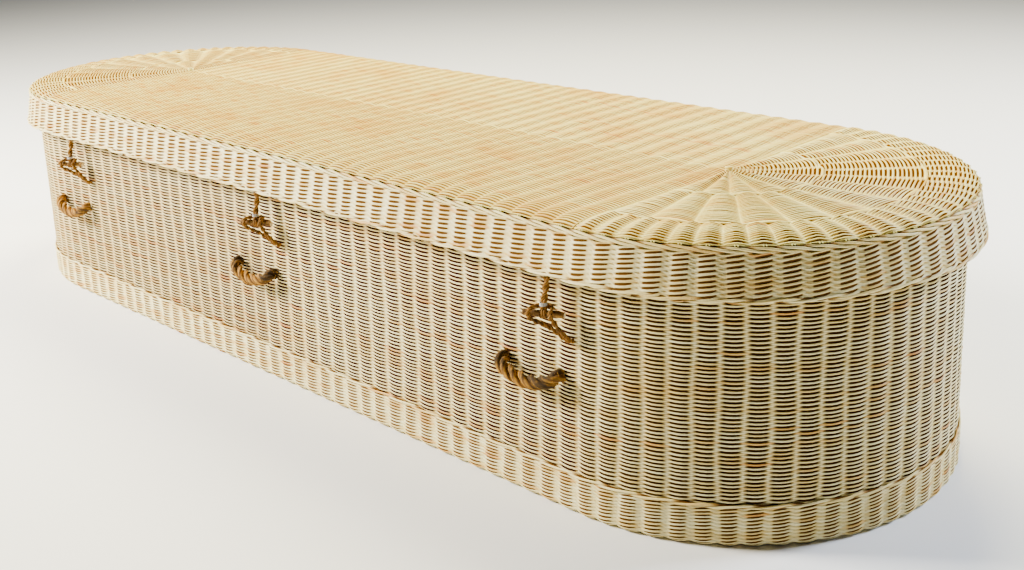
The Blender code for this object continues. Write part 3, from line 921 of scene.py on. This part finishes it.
def relief(stakes, rows, weave):
    """Height of the highest strand over the weave's neutral face, its tone and its gap.

    A strand's height is its swing times the cosine of half a turn a stake, plus the height of
    its round section, the root of radius squared less the distance from its line squared. The
    gap, which the material paints as shade, is 1 in the hollow between two strokes, and a little
    at a strand's sides.
    """
    nearest = np.round(stakes - 0.5)
    best = np.full(stakes.shape, -weave.swing * 0.8)
    tone = np.full(stakes.shape, 0.9)
    edge = np.zeros(stakes.shape)
    for shift in (-1, 0, 1):
        stake = nearest + shift
        along = stakes - 0.5 - stake
        place = rows - weave.phase * np.mod(stake, 2) - slant_at(weave, stake) * along
        row = np.round(place)
        away = (place - row) * weave.pitch
        turn = np.cos(np.pi * np.clip(along, -1, 1))
        if weave.flat:
            turn = np.tanh(weave.flat * turn) / np.tanh(weave.flat)
        jitter = stroke_jitter(stake, row)
        size = weave.strand * (1 + weave.swell * np.minimum(4 * along ** 2, 1))
        section = np.sqrt(np.clip(size ** 2 - away ** 2, 0, None))
        height = weave.swing * (1 + 0.05 * jitter) * turn + section
        height = np.where((np.abs(away) < size) & (np.abs(along) <= 1.001), height, -1.0)
        side = np.where(np.abs(away) > SIDE_FROM * size, weave.side_shade, 0.0)
        colour = np.clip(rod_tone(2 * row + np.mod(stake, 2) + 7, stakes) + 0.07 * jitter, 0, 1)
        tone = np.where(height > best, colour, tone)
        edge = np.where(height > best, side, edge)
        best = np.maximum(best, height)
    # the gap value is painted shade: 1 in a hollow, the side shade on a strand's sides
    facing = np.cos(np.pi * (stakes - 0.5 - nearest))
    front = weave.swing * facing + weave.strand
    hollow = np.clip((facing - HOLLOW_END) / HOLLOW_FADE, 0, 1)
    gap = np.where(front - best > weave.strand, hollow, edge)
    return np.maximum(best, front - weave.depth), tone, gap


sample = relief(np.linspace(0, 4, 9)[None], np.linspace(0, 1, 5)[:, None] + np.zeros((1, 9)),
                plain_wall)[0]
print("relief of the wall, mm, from", round(sample.min() * 1e3, 2), "to",
      round(sample.max() * 1e3, 2))

# %% [markdown]
# ## Profiles
#
# A band of weaving follows a profile: a line in the plane across the plan that says how the
# sheet rises, leans and turns over. The same few lines of code then make a wall, a rounded foot
# and the lid's edge, where a Bevel modifier would round the relief away with the edge.


# %% Profiles
def arc(centre, radius, start, end, steps=8):
    """Points on a circle in the profile's plane, from one angle to another, in degrees."""
    angle = np.radians(np.linspace(start, end, steps))
    return np.stack([centre[0] + radius * np.cos(angle), centre[1] + radius * np.sin(angle)], 1)


def on_profile(profile, distance):
    """Radius, height and the outward direction at a distance along a line of points."""
    steps = np.diff(profile, axis=0)
    run = np.concatenate([[0], np.hypot(*steps.T).cumsum()])
    radius, height = (np.interp(distance, run, profile[:, axis]) for axis in (0, 1))
    middle = (run[:-1] + run[1:]) / 2
    heading = steps / np.hypot(*steps.T)[:, None]
    along_r, along_z = (np.interp(distance, middle, heading[:, axis]) for axis in (0, 1))
    size = np.hypot(along_r, along_z)
    return radius, height, along_z / size, -along_r / size


def profile_length(profile):
    return float(np.hypot(*np.diff(profile, axis=0).T).sum())


print("a quarter turn of 8 mm is", round(profile_length(arc((0, 0), 8.0, 0, 90)), 2), "mm long")

# %% [markdown]
# ## Closed sheets
#
# The relief stands on the profile, square to it. A plain inner face, as far behind as the sheet
# is thick, and edges between the two close the shell. Solidify would copy the relief to the
# inside, where nobody sees it, and double the faces. Sheets that run right round have no side
# edges. Shading breaks along the borders, so that the cut edges look crisp.


# %% Closed sheets
def sheet_faces(rows, columns, inner_rows, around):
    """Quads of the outer grid, of the coarser inner grid, and of the edges between them.

    At a side edge each outer step makes a triangle with the nearest inner point, and each
    inner step one with the outer point where the nearest inner point changes.
    """
    inner = rows * columns
    i = np.arange(columns if around else columns - 1)
    k = (i + 1) % columns
    j = np.arange(rows - 1)[:, None] * columns
    m = inner + np.arange(inner_rows - 1)[:, None] * columns
    last, inner_last = (rows - 1) * columns, inner + (inner_rows - 1) * columns
    quads = [np.stack([j + i, j + k, j + columns + k, j + columns + i], -1).reshape(-1, 4),
             np.stack([m + i, m + columns + i, m + columns + k, m + k], -1).reshape(-1, 4),
             np.stack([i, inner + i, inner + k, k], -1),
             np.stack([last + i, last + k, inner_last + k, inner_last + i], -1)]
    if around:
        return [np.vstack(quads)]
    near = np.round(np.arange(rows) * (inner_rows - 1) / (rows - 1)).astype(int)
    change = np.flatnonzero(np.diff(near))
    sides = []
    for column, order in ((0, 1), (columns - 1, -1)):
        outer_at, inner_at = np.arange(rows) * columns + column, inner + near * columns + column
        strip = np.stack([outer_at[:-1], outer_at[1:], inner_at[:-1]], -1)
        jump = np.stack([outer_at[change + 1], inner_at[change + 1], inner_at[change]], -1)
        sides.append(np.vstack([strip, jump])[:, ::order])
    return [np.vstack(quads), np.vstack(sides)]


def sheet_rims(rows, columns, inner_rows, around):
    """True at the points on the borders of both grids, where shading breaks."""
    rims = []
    for count in (rows, inner_rows):
        border = np.zeros((count, columns), bool)
        border[[0, -1]] = True
        if not around:
            border[:, [0, -1]] = True
        rims.append(border.ravel())
    return np.concatenate(rims)


print("faces of a sheet of 5 by 5 points", [len(block) for block in sheet_faces(5, 5, 3, False)])

# %% [markdown]
# ## Signs of the hand
#
# Rows wander up and down a little and stakes lean a little to the side, both in slow waves. In
# paired weave the grid climbs with each slanted stroke, so that grid lines follow the strands
# and few points are enough. Random noise would make neighbours jump, where a hand drifts.


# %% Signs of the hand
def hand_wander(stakes, rows):
    """Slow waves that keep rows from being dead level: the sum of two sines, in pitches."""
    return (0.07 * np.sin(2 * np.pi * (3 * stakes / AROUND + rows / 13))
            + 0.05 * np.sin(2 * np.pi * (17 * stakes / AROUND - rows / 7.3)))


def stake_sway(stakes, rows):
    """Stakes aren't quite plumb either: a few hundredths of a pitch sideways."""
    return (0.035 * np.sin(2 * np.pi * (23 * stakes / AROUND + rows / 41))
            + 0.02 * np.sin(2 * np.pi * (51 * stakes / AROUND - rows / 23)))


def stroke_shear(stakes):
    """Grid lines climb with each stroke over its stake and drop back in the valley."""
    along = stakes - np.floor(stakes) - 0.5
    return np.sign(along) * np.interp(np.abs(along), [0, 0.38, 0.5], [0, 0.38, 0])


def edge_fade(columns, around):
    """No sway at the sides of a panel, so that it meets its neighbour."""
    if around:
        return np.ones_like(columns)
    return np.clip(np.minimum(columns - columns[0], columns[-1] - columns), 0, 1)


def arched_start(up, gap, arch, weave, hollow_from):
    """The first strand goes over every rib in an arch, with painted shade in the hollow under it."""
    up[:2] = -0.8 * weave.swing
    up[2:4] = weave.swing * arch + weave.strand * np.array([[0.2], [1]])
    gap[:2], gap[2:4] = np.where(arch > hollow_from, 1.0, 0.0), 0.0


def collar_start(up, gap, arch, weave):
    """The first strand is a raised ring, with painted shade on its outer side."""
    up[:2] = [[-1.2 * weave.swing], [-0.2 * weave.swing]]
    up[2:4] = weave.swing * (0.30 + 0.50 * arch) + weave.strand * np.array([[0.3], [0.9]])
    gap[:2], gap[2:4] = 1.0, 0.0


print("rows wander by up to", round(0.12 * plain_wall.pitch * 1e3, 1), "mm")

# %% [markdown]
# ## A woven sheet
#
# This puts the parts together: the grid on the plan and the profile, the relief square to it, the
# plain inner face. The relief's crests touch the plain solid's face and the rest lies below it,
# so that the woven piece is as large as the solid it stands for.

# %% Woven sheets
NARROW_RIB = 0.010


def woven_sheet(profile, start, weave, lines, columns, thickness, inner_count=5, around=False,
                ribs=None, shape=None, brow=False, collar=False):
    """A closed woven sheet along a profile: points, face blocks, rims and values.

    lines are places across the rows, in pitches from start; columns are places along the plan,
    in stakes. ribs turns columns to places on the plan where there are fewer ribs than stakes,
    and gives a rib's width at a radius. A point is the profile's point at its row, carried to its
    place on the plan, plus the relief less the crest along the profile's outward direction.
    With brow the first strand is an arch over each rib, with collar it is a raised ring.
    """
    stakes, rows = np.meshgrid(columns, lines)
    rows = rows + slant_at(weave, stakes) * stroke_shear(stakes)
    arch = np.abs(np.cos(np.pi * (columns - 0.5 - np.round(columns - 0.5)))) ** 0.7
    if brow:
        rows[1:4] = lines[0] + np.array([[0.40], [0.46], [0.34]]) * arch + [[0.01], [0.02], [0.30]]
    plan = (lambda s: s) if ribs is None else ribs[0]
    up, tone, gap = relief(stakes, rows, weave)
    if brow:
        arched_start(up, gap, arch, weave, 0.75 if ribs is None else 0.3)
    if collar:
        collar_start(up, gap, arch, weave)
    rise = up - weave.crest
    if ribs is not None:
        width = ribs[1](on_profile(profile, start + weave.pitch * rows)[0])
        rise = rise * np.clip(width / NARROW_RIB, 0.2, 1)
    moved = start + weave.pitch * (rows + hand_wander(plan(stakes), rows))
    radius, height, out_r, out_z = on_profile(profile, moved)
    sway = stake_sway(plan(stakes), rows) * (1 if ribs is None else 0.5)
    x, y = plan_point(plan(stakes) + sway * edge_fade(columns, around), radius + out_r * rise)
    outer = np.stack([x, y, height + out_z * rise], -1)
    inner_stakes, inner_lines = np.meshgrid(columns, np.linspace(lines[0], lines[-1], inner_count))
    radius, height, out_r, out_z = on_profile(profile, start + weave.pitch * inner_lines)
    x, y = plan_point(plan(inner_stakes), radius - out_r * thickness)
    inner = np.stack([x, y, height - out_z * thickness], -1)
    points = np.concatenate([outer.reshape(-1, 3), inner.reshape(-1, 3)])
    if shape is not None:
        points = shape(points)
    counts = (len(lines), len(columns), inner_count)
    inner_tone = rod_tone(np.round(inner_lines * 2), inner_stakes)
    # gap carries the painted shade; the plain inner face gets none
    values = {"tone": np.concatenate([tone.ravel(), inner_tone.ravel()]),
              "gap": np.concatenate([gap.ravel(), np.zeros(inner_tone.size)])}
    return points, sheet_faces(*counts, around), sheet_rims(*counts, around), values


def add_woven(name, sheets, material, nodes):
    """One piece from one or more closed sheets."""
    points, faces, values = joined(*((sheet[0], sheet[1], sheet[3]) for sheet in sheets))
    rims = np.concatenate([sheet[2] for sheet in sheets])
    return make_piece(name, points, faces, [material], nodes, "cane", values, rims)


def spaced(first, last, shares):
    """Whole steps from first to last, each with extra places at the given shares of it."""
    places = (np.arange(first, last)[:, None] + np.array(shares)[None, :]).ravel()
    return np.append(places, last) if shares[0] == 0 else places


# shares of a stake or of a pitch at which grid lines run, for near pieces and for far ones
FINE_STAKE = (0.0, 0.15, 0.43, 0.5, 0.57, 0.85)
COARSE_STAKE = (0.0, 0.16, 0.5, 0.84)
STROKE_STAKE = (0.0, 0.17, 0.39, 0.61, 0.83)
FINE_ROWS = (0.0, 0.215, 0.285, 0.5, 0.715, 0.785)
COARSE_ROWS = (0.215, 0.285, 0.715, 0.785)
print("points across a stake", len(FINE_STAKE), "or", len(COARSE_STAKE))

# %% [markdown]
# ## The wall
#
# The wall is plain weave, 5.1 mm for two strands, from the foot band up to just above the lid's
# lower edge. One sheet could run right round, but it would have too many triangles for one
# piece, so there are five that meet in the valleys between stakes. Those nearest to the camera
# are finer.

# %% Wall
WALL_START, WALL_END, LEAD = 0.0515, 0.3225, 0.002
WALL_ROWS = math.ceil((WALL_END - WALL_START) / plain_wall.pitch)
wall_heights = np.linspace(WALL_START - LEAD, 0.34, 20)
wall_profile = np.stack([wall_radius(wall_heights), wall_heights], 1)
for name, first, last, stake_shares, row_shares in (
    ("wall_front_far", 0, 20, STROKE_STAKE, COARSE_ROWS),
    ("wall_front_near", 20, 40, STROKE_STAKE, FINE_ROWS),
    ("wall_near_end", 40, 72, STROKE_STAKE, FINE_ROWS),
    ("wall_back", 72, 112, COARSE_STAKE, COARSE_ROWS),
    ("wall_far_end", 112, 144, COARSE_STAKE, COARSE_ROWS),
):
    sheet = woven_sheet(wall_profile, LEAD, plain_wall, spaced(0, WALL_ROWS, row_shares),
                        spaced(first, last, stake_shares), BASKET_WALL)
    # the near end takes the copy of the cane with its own painted shade, for the light there
    add_woven(name, [sheet], end_cane_painted_shade if name == "wall_near_end" else wall_cane, ["basket"])

# %% [markdown]
# ## Foot band
#
# Round the foot the weave is paired and stands 3 mm proud, with a rounded lower edge. It keeps
# the basket's shape where the floor is woven in. It is one sheet right round, with coarser
# columns at the back, because its rows are few.

# %% Foot band
FOOT_PROUD, FOOT_ROUND, FOOT_TOP, SHOULDER, FOOT_WALL = 0.003, 0.008, 0.050, 0.004, 0.007
foot_radius = wall_radius(0.0) + FOOT_PROUD
foot_profile = np.vstack([
    arc((foot_radius - FOOT_ROUND, FOOT_ROUND + 0.0002), FOOT_ROUND, -90, 0),
    [(wall_radius(FOOT_TOP) + FOOT_PROUD, FOOT_TOP)],
    [(wall_radius(FOOT_TOP + SHOULDER), FOOT_TOP + SHOULDER)],
])
PAIRED_ROWS = (0.0, 0.235, 0.325, 0.675, 0.765)
around_columns = np.concatenate([spaced(0, 72, STROKE_STAKE)[:-1],
                                 spaced(72, AROUND, COARSE_STAKE)[:-1]])
foot_rows = int(profile_length(foot_profile) / paired_foot.pitch)
foot = woven_sheet(foot_profile, 0.0, paired_foot, spaced(0, foot_rows, PAIRED_ROWS),
                   around_columns, FOOT_WALL, around=True)
add_woven("foot_band", [foot], skirt_cane, ["basket"])

# %% [markdown]
# ## Hidden rim
#
# The rim under the lid is seen only when the lid is off, so it has larger, plainer strokes and
# few points. It starts where the wall's weave ends and turns inwards at the top.

# %% Hidden rim
RIM_START, RIM_ROUND = 0.3228, 0.004
rim_weave = Weave(9.0 * MM, 2.4 * MM, 1.6 * MM, 0.0, 0.3)
rim_centre = (BASKET_RIM_RADIUS - RIM_ROUND, BASKET_RIM_HEIGHT - RIM_ROUND - GAP)
rim_profile = np.vstack([[(wall_radius(RIM_START), RIM_START)], arc(rim_centre, RIM_ROUND, 0, 90)])
rim_rows = int(profile_length(rim_profile) / rim_weave.pitch)
rim = woven_sheet(rim_profile, 0.0, rim_weave, spaced(0, rim_rows, (0.0, 0.25, 0.5, 0.75)),
                  spaced(0, AROUND, (0.0, 0.5))[:-1], BASKET_WALL - 0.001, around=True)
add_woven("basket_rim", [rim], wall_cane, ["basket"])

# %% [markdown]
# ## Woven floor
#
# The floor is plain, with long low waves for its rods. A grid squeezed between the two sides of
# the outline keeps its rows parallel, where a filled outline would have none.

# %% Woven floor
FLOOR_RELIEF, FLOOR_WAVE, FLOOR_ROD, FLOOR_BOTTOM = 0.0016, 0.016, 0.008, 0.0008


def floor_sheet(top, bottom, radius, ribs, rows):
    """A flat slab with the plan's outline, its width at x the outline's own.

    The top's relief is a cosine of the place along, in stakes, plus the place across in waves.
    """
    x = np.linspace(-1, 1, ribs) * (HALF + radius * 0.998)
    past = np.clip(np.abs(x) - HALF, 0, None)
    width = np.sqrt(radius ** 2 - past ** 2)
    y = np.linspace(-1, 1, rows)[:, None] * width[None]
    stakes = (x / STAKE_PITCH)[None] + 0 * y
    up = FLOOR_RELIEF * np.cos(2 * np.pi * (stakes + y / FLOOR_WAVE))
    upper = np.stack([x[None] + 0 * y, y, top - FLOOR_RELIEF + up], -1)[::-1]
    lower = np.stack([x[None] + 0 * y, y, bottom + 0 * y], -1)[::-1][[0, -1]]
    points = np.concatenate([upper.reshape(-1, 3), lower.reshape(-1, 3)])
    tone = rod_tone(np.round(points[:, 1] / FLOOR_ROD) + 60, points[:, 0] / STAKE_PITCH + 60)
    values = {"tone": tone, "gap": np.zeros(len(points))}
    return points, sheet_faces(rows, ribs, 2, False), sheet_rims(rows, ribs, 2, False), values


floor = floor_sheet(BASKET_FLOOR, FLOOR_BOTTOM, foot_radius - FOOT_ROUND - 0.001, 241, 41)
add_woven("woven_floor", [floor], wall_cane, ["basket"])

# %% [markdown]
# ## Borders
#
# Where one kind of weaving ends, thicker strands are laid round the outline like a rope: a
# flattened three-strand border along the lid's edge, and two-strand ones along the lid's lower
# rim and the top of the foot band. The strokes at the lid's edge slant down to the right, the
# way that border is laid in by hand, and the hollows between them, painted with shade where a
# strand goes behind the others, are the small dark triangles.
# They could be relief like the weave, but a border stands free of the sheets and shows its
# strands from below and from the side, so each strand is a tube.

# %% Laid borders
RINGS_PER_STAKE = 4


def laid_border(name, radius, height, tilt, count, core_out, core_across, strand, lay, nodes,
                sides=7):
    """Strands twisted round a line that follows the plan.

    In the plane across the line, strand k sits at core_out cos a outward and core_across sin a
    across, with a turning once in lay stakes. Both directions are tilted up from level. The gap
    value, painted as shade, grows where a strand goes behind the others.
    """
    stakes = np.arange(AROUND * RINGS_PER_STAKE) / RINGS_PER_STAKE
    a = 2 * np.pi * (stakes[None] / lay + np.arange(count)[:, None] / count)
    b = np.linspace(0, 2 * np.pi, sides, endpoint=False)
    out = np.array([math.cos(tilt), math.sin(tilt)])
    across = np.array([-math.sin(tilt), math.cos(tilt)])
    wobble = 1 + 0.08 * np.sin(stakes * 2.3)[None] * np.cos(stakes * 0.7)[None]
    centre = ((core_out * np.cos(a) * wobble)[..., None] * out
              + (core_across * np.sin(a))[..., None] * across)
    ring = strand * (np.cos(b)[:, None] * out + np.sin(b)[:, None] * across)
    place = np.array([radius, height]) + centre[:, :, None] + ring[None, None]
    x, y = plan_point(stakes[None, :, None], place[..., 0])
    points = np.stack([x, y, place[..., 1]], -1).reshape(-1, 3)
    strand_id = np.broadcast_to(np.arange(count)[:, None, None] * 5 + 3, x.shape)
    tone = rod_tone(strand_id.ravel(), np.broadcast_to(stakes[None, :, None], x.shape).ravel())
    facing = np.broadcast_to(np.cos(a)[..., None] * 0.5, x.shape).ravel()
    # painted shade where a strand faces inwards, behind the others
    values = {"tone": tone, "gap": np.clip(0.06 - 0.8 * facing, 0, 0.45)}
    faces = tube_faces(count, len(stakes), sides, closed=True)
    return make_piece(name, points, faces, [skirt_cane], nodes, "cane", values)


FOOT_BORDER_HEIGHT = 0.0525
laid_border("foot_border", wall_radius(FOOT_BORDER_HEIGHT) + 0.0006, FOOT_BORDER_HEIGHT, 0.0, 2,
            1.2 * MM, 1.5 * MM, 1.45 * MM, 3.0, ["basket"])

# %% [markdown]
# ## The lid's skirt
#
# The skirt is paired weave like the foot, 5.7 mm a row, and leans out towards its lower rim. A
# border lies along that rim and another one covers the edge where the skirt meets the top.

# %% Skirt
EDGE_BORDER_HEIGHT, SKIRT_WALL, RIM_BEAD = 0.3628, 0.008, 0.004
bead_height = LID_RIM_HEIGHT + RIM_BEAD + 0.0002
skirt_profile = np.vstack([
    arc((LID_RIM_RADIUS - 0.0045, bead_height), RIM_BEAD, -90, -8),
    [(LID_EDGE_RADIUS + 0.0010, EDGE_BORDER_HEIGHT - 0.001)],
])
skirt_rows = int(profile_length(skirt_profile) / paired_skirt.pitch)
skirt = woven_sheet(skirt_profile, 0.001, paired_skirt, spaced(0, skirt_rows, PAIRED_ROWS),
                    around_columns, SKIRT_WALL, around=True)
add_woven("lid_skirt", [skirt], skirt_cane, ["lid"])
laid_border("lid_lower_border", LID_RIM_RADIUS - 0.0028, bead_height, 0.0, 2,
            1.3 * MM, 1.9 * MM, 1.5 * MM, 3.4, ["lid"])
laid_border("lid_edge_border", LID_EDGE_RADIUS - 0.0012, EDGE_BORDER_HEIGHT, math.radians(8), 3,
            1.4 * MM, 2.4 * MM, 1.65 * MM, -3.0, ["lid"], sides=6)

# %% [markdown]
# ## The lid's top
#
# Across the middle the ribs run straight from side to side. At each end they meet in a fan of
# three rings: 32 ribs at the outside, 14 in the middle ring and 9 wide, pillowed ones round the
# centre. Each ring begins with a raised collar, with painted shade in the small hollows under it,
# where the ribs divide. The weavers follow the outline all the way, so the same rows run down the
# sides and round the fans. Each ring is a sheet of its own, which keeps the rows even in all three.
# The profile of the top goes from the edge over an elliptical round to the middle line.

# %% Profile of the top
INNER_FAN, OUTER_FAN = 0.40 * TOP_RADIUS, 0.82 * TOP_RADIUS
LID_SAG, EDGE_DROP, EDGE_ROUND = 0.002, 0.010, 0.042
quarter = np.radians(np.linspace(0, 90, 16))
top_profile = np.vstack([
    [(LID_EDGE_RADIUS, LID_EDGE_HEIGHT - EDGE_DROP - 0.001)],
    np.stack([LID_EDGE_RADIUS - EDGE_ROUND * (1 - np.cos(quarter)),
              LID_EDGE_HEIGHT - EDGE_DROP * (1 - np.sin(quarter))], 1),
    [(0.0, LID_EDGE_HEIGHT - LID_SAG)],
])
TOP_START, SUNK = 0.0005, 0.0030
TOP_LENGTH = profile_length(top_profile)
print("the top's profile is", round(TOP_LENGTH, 4), "m long")

# %% [markdown]
# ## Rows of the top
#
# Rows are counted from the lid's edge. Each part begins with the strand that forms its arch or
# its collar, so its first grid lines lie close together. The whole top is then let down a little
# towards its near half. A lattice could bend it too, but a sum per point is all it takes.


# %% Rows and the sunk middle
def rows_between(outer, inner, shares, pitch):
    """Row places, in pitches from the start, for the part of the top between two radii.

    The first strand has close lines of its own, because it forms the arch or the collar.
    """
    first, last = ((TOP_LENGTH - radius - TOP_START) / pitch for radius in (outer, inner))
    first = max(first, 0)
    grid = spaced(math.floor(first), math.ceil(last), shares)
    return np.concatenate([first + np.array([0, 0.02, 0.05, 0.30]),
                           grid[(grid > first + 0.60) & (grid < last - 0.05)], [last]])


def settle(points):
    """The near half of the real top has sunk more than the far half.

    A point sinks by SUNK times its distance from the edge, as a share, times its place along.
    """
    x, y = points[:, 0], points[:, 1]
    off = np.hypot(np.clip(np.abs(x) - HALF, 0, None), y) / TOP_RADIUS
    sink = SUNK * np.clip(1 - off, 0, 1) * np.clip((x + HALF) / (2 * HALF), 0, 1)
    return points - np.stack([0 * x, 0 * x, sink], 1)


print("rows across half the top", round(TOP_LENGTH / plain_top.pitch))

# %% [markdown]
# ## The straight part of the top
#
# Two sheets, front and back, meet on the middle line. The front one is nearer to the camera, so
# it has more points across a stake. Their first strand is the arch beside the edge border.

# %% Straight part of the top
for name, first, shares in (("lid_top_front", 0, (0.0, 0.22, 0.44, 0.56, 0.78)),
                            ("lid_top_back", 72, COARSE_STAKE)):
    sheet = woven_sheet(top_profile, TOP_START, plain_top,
                        rows_between(1, 0.0002, COARSE_ROWS, plain_top.pitch),
                        spaced(first, first + SIDE_STAKES, shares),
                        LID_WALL, shape=settle, brow=True)
    add_woven(name, [sheet], top_cane, ["lid"])

# %% [markdown]
# ## The fans
#
# A fan is the same weave with fewer, wider ribs towards the centre, so one function makes all
# rings. It only says where a rib lies on the plan and how wide it is at a radius. Wide ribs swing
# further and lie level in their middle, which makes them look like small pillows. A coil of cane
# closes the hole in the middle.


# %% Fans
def fan_sheet(corner, ribs, outer, inner, shares, row_shares, swing, flat, skew=0.0):
    """One ring of a fan with its own number of ribs; a rib's width is pi radius over ribs.

    Rib t starts at END_STAKES t / ribs stakes from the corner, plus skew sin(pi t / ribs).
    """
    def place(s):
        turned = s - corner
        return corner + turned * END_STAKES / ribs + skew * np.sin(np.pi * turned / ribs)

    def width(radius):
        return np.pi * radius / ribs

    weave = Weave(plain_top.pitch, plain_top.strand, swing, 0.5, 0.0, flat, 2.6 * MM)
    return woven_sheet(top_profile, TOP_START, weave,
                       rows_between(outer, inner, row_shares, weave.pitch),
                       spaced(corner, corner + ribs, shares), LID_WALL, ribs=(place, width),
                       shape=settle, brow=outer == 1, collar=outer != 1)


WIDE_RIB = (0.0, 0.07, 0.18, 0.34, 0.5, 0.66, 0.82, 0.93)
KNOT_RADIUS, KNOT_STRAND, KNOT_RISE, KNOT_TURNS, HOLE = 0.0045, 0.0016, 0.0006, 1.7, 0.004
for name, corner, row_shares in (("lid_fan_near", SIDE_STAKES, FINE_ROWS),
                                 ("lid_fan_far", 2 * SIDE_STAKES + END_STAKES, COARSE_ROWS)):
    rings = [
        fan_sheet(corner, 32, 1, OUTER_FAN, FINE_STAKE, row_shares, 4.0 * MM, 0.5),
        fan_sheet(corner, 14, OUTER_FAN - GAP, INNER_FAN, WIDE_RIB, row_shares, 4.2 * MM, 0.9),
        fan_sheet(corner, 9, INNER_FAN - GAP, HOLE, WIDE_RIB, row_shares, 4.2 * MM, 0.9, -1.2),
    ]
    add_woven(name, rings, fan_cane, ["lid"])
    centre = np.array([HALF if corner == SIDE_STAKES else -HALF, 0.0, LID_EDGE_HEIGHT - LID_SAG])
    points, faces, _ = coil(settle(centre[None])[0] + (0, 0, KNOT_RISE), np.array([0, 0, 1.0]),
                            KNOT_RADIUS, KNOT_STRAND, KNOT_TURNS)
    make_piece(f"{name}_knot", points, faces, [fan_cane], ["lid"], "cane",
               {"tone": np.full(len(points), 0.1), "gap": np.zeros(len(points))})

# %% [markdown]
# ## Cut stake ends
#
# At the lid's edge each stake is cut off beside the next one. Two small ends a rib poke out of
# the hollows. They are repeated hundreds of times, so each has only six sides.

# %% Stake ends
END_SIDES, END_SIZE, END_REACH = 6, 0.0007, 0.003
middles = np.arange(AROUND) + 0.5
ends_at = np.concatenate([middles - 0.05, middles + 0.06])


def stake_ends(stakes, radius, height, size, reach):
    """Short rods: a circle of the size round a line that points outwards over the reach."""
    b = np.linspace(0, 2 * np.pi, END_SIDES, endpoint=False)
    out = radius + np.array([-reach, reach * 0.5])[:, None] + 0 * b
    place = stakes[:, None, None] + size / STAKE_PITCH * np.cos(b)
    x, y = plan_point(place, out[None])
    z = height + size * np.sin(b) + 0 * out[None] + 0 * x
    return np.stack([x, y, z], -1).reshape(-1, 3), tube_faces(len(stakes), 2, END_SIDES)


points, faces = stake_ends(ends_at, LID_EDGE_RADIUS - 0.001, LID_EDGE_HEIGHT - EDGE_DROP + 0.0012,
                           END_SIZE, END_REACH)
make_piece("stake_ends", points, faces, [fan_cane], ["lid"], "cane",
           {"tone": np.zeros(len(points)), "gap": np.zeros(len(points))})

# %% [markdown]
# ## Studio floor
#
# The floor is matt white paper, large enough that the photograph's camera sees no edge of it.
# Being matt, it mirrors nothing and only gives a soft shadow. A white world without a floor
# would leave the casket hanging in the air.

# %% Floor
FLOOR_REACH = 14.0


def make_floor():
    """A square as wide as twice the reach, which isn't part of the object."""
    made, _, shader = new_material("matt white studio paper")
    shader.inputs["Base Color"].default_value = linear("#F6F6F4")
    shader.inputs["Roughness"].default_value = 0.9
    mesh = bpy.data.meshes.new("studio_floor")
    corners = FLOOR_REACH * np.array([(-1, -1, 0), (1, -1, 0), (1, 1, 0), (-1, 1, 0)])
    mesh.from_pydata(corners, [], [(0, 1, 2, 3)])
    mesh.materials.append(made)
    stage_floor = bpy.data.objects.new("studio_floor", mesh)
    bpy.context.scene.collection.objects.link(stage_floor)


make_floor()
print("floor reaches", FLOOR_REACH, "m")

# %% [markdown]
# ## Light
#
# Soft light from large panels, as in a studio: one to the front left that lights the long side,
# one to the right that whitens the near end, and a wide warm one above that lights the lid. The
# world itself gives almost nothing, so the hollows stay dark and the front end stays dim. One
# bright world would be simpler, but it would light every hollow and flatten the weave.


# %% Lights
def add_panel(name, place, target, size, watts, colour):
    """A square area light at a place, turned to a target: yaw from x and y, pitch from z."""
    data = bpy.data.lights.new(name, "AREA")
    data.shape, data.size, data.energy = "SQUARE", size, watts
    data.color = linear(colour)[:3]
    panel = bpy.data.objects.new(name, data)
    panel.location = place
    aim = np.array(target) - np.array(place)
    yaw, pitch = math.atan2(aim[1], aim[0]), math.atan2(aim[2], math.hypot(aim[0], aim[1]))
    panel.rotation_euler = (math.pi / 2 + pitch, 0.0, yaw - math.pi / 2)
    bpy.context.scene.collection.objects.link(panel)


add_panel("front left panel", (-2.4, -2.0, 1.9), (-0.7, -0.3, 0.2), 0.9, 545, "#FFFAEE")
add_panel("right panel", (2.4, 2.7, 1.9), (0.7, 0.0, 0.3), 0.9, 300, "#E2ECFF")
add_panel("top panel", (-0.7, 1.5, 3.0), (0.0, 0.0, 0.3), 1.6, 300, "#FFF4C8")
world = bpy.data.worlds.new("studio")
world.use_nodes = True
world.node_tree.nodes["Background"].inputs["Color"].default_value = linear("#FFFFFF")
world.node_tree.nodes["Background"].inputs["Strength"].default_value = 0.03
bpy.context.scene.world = world
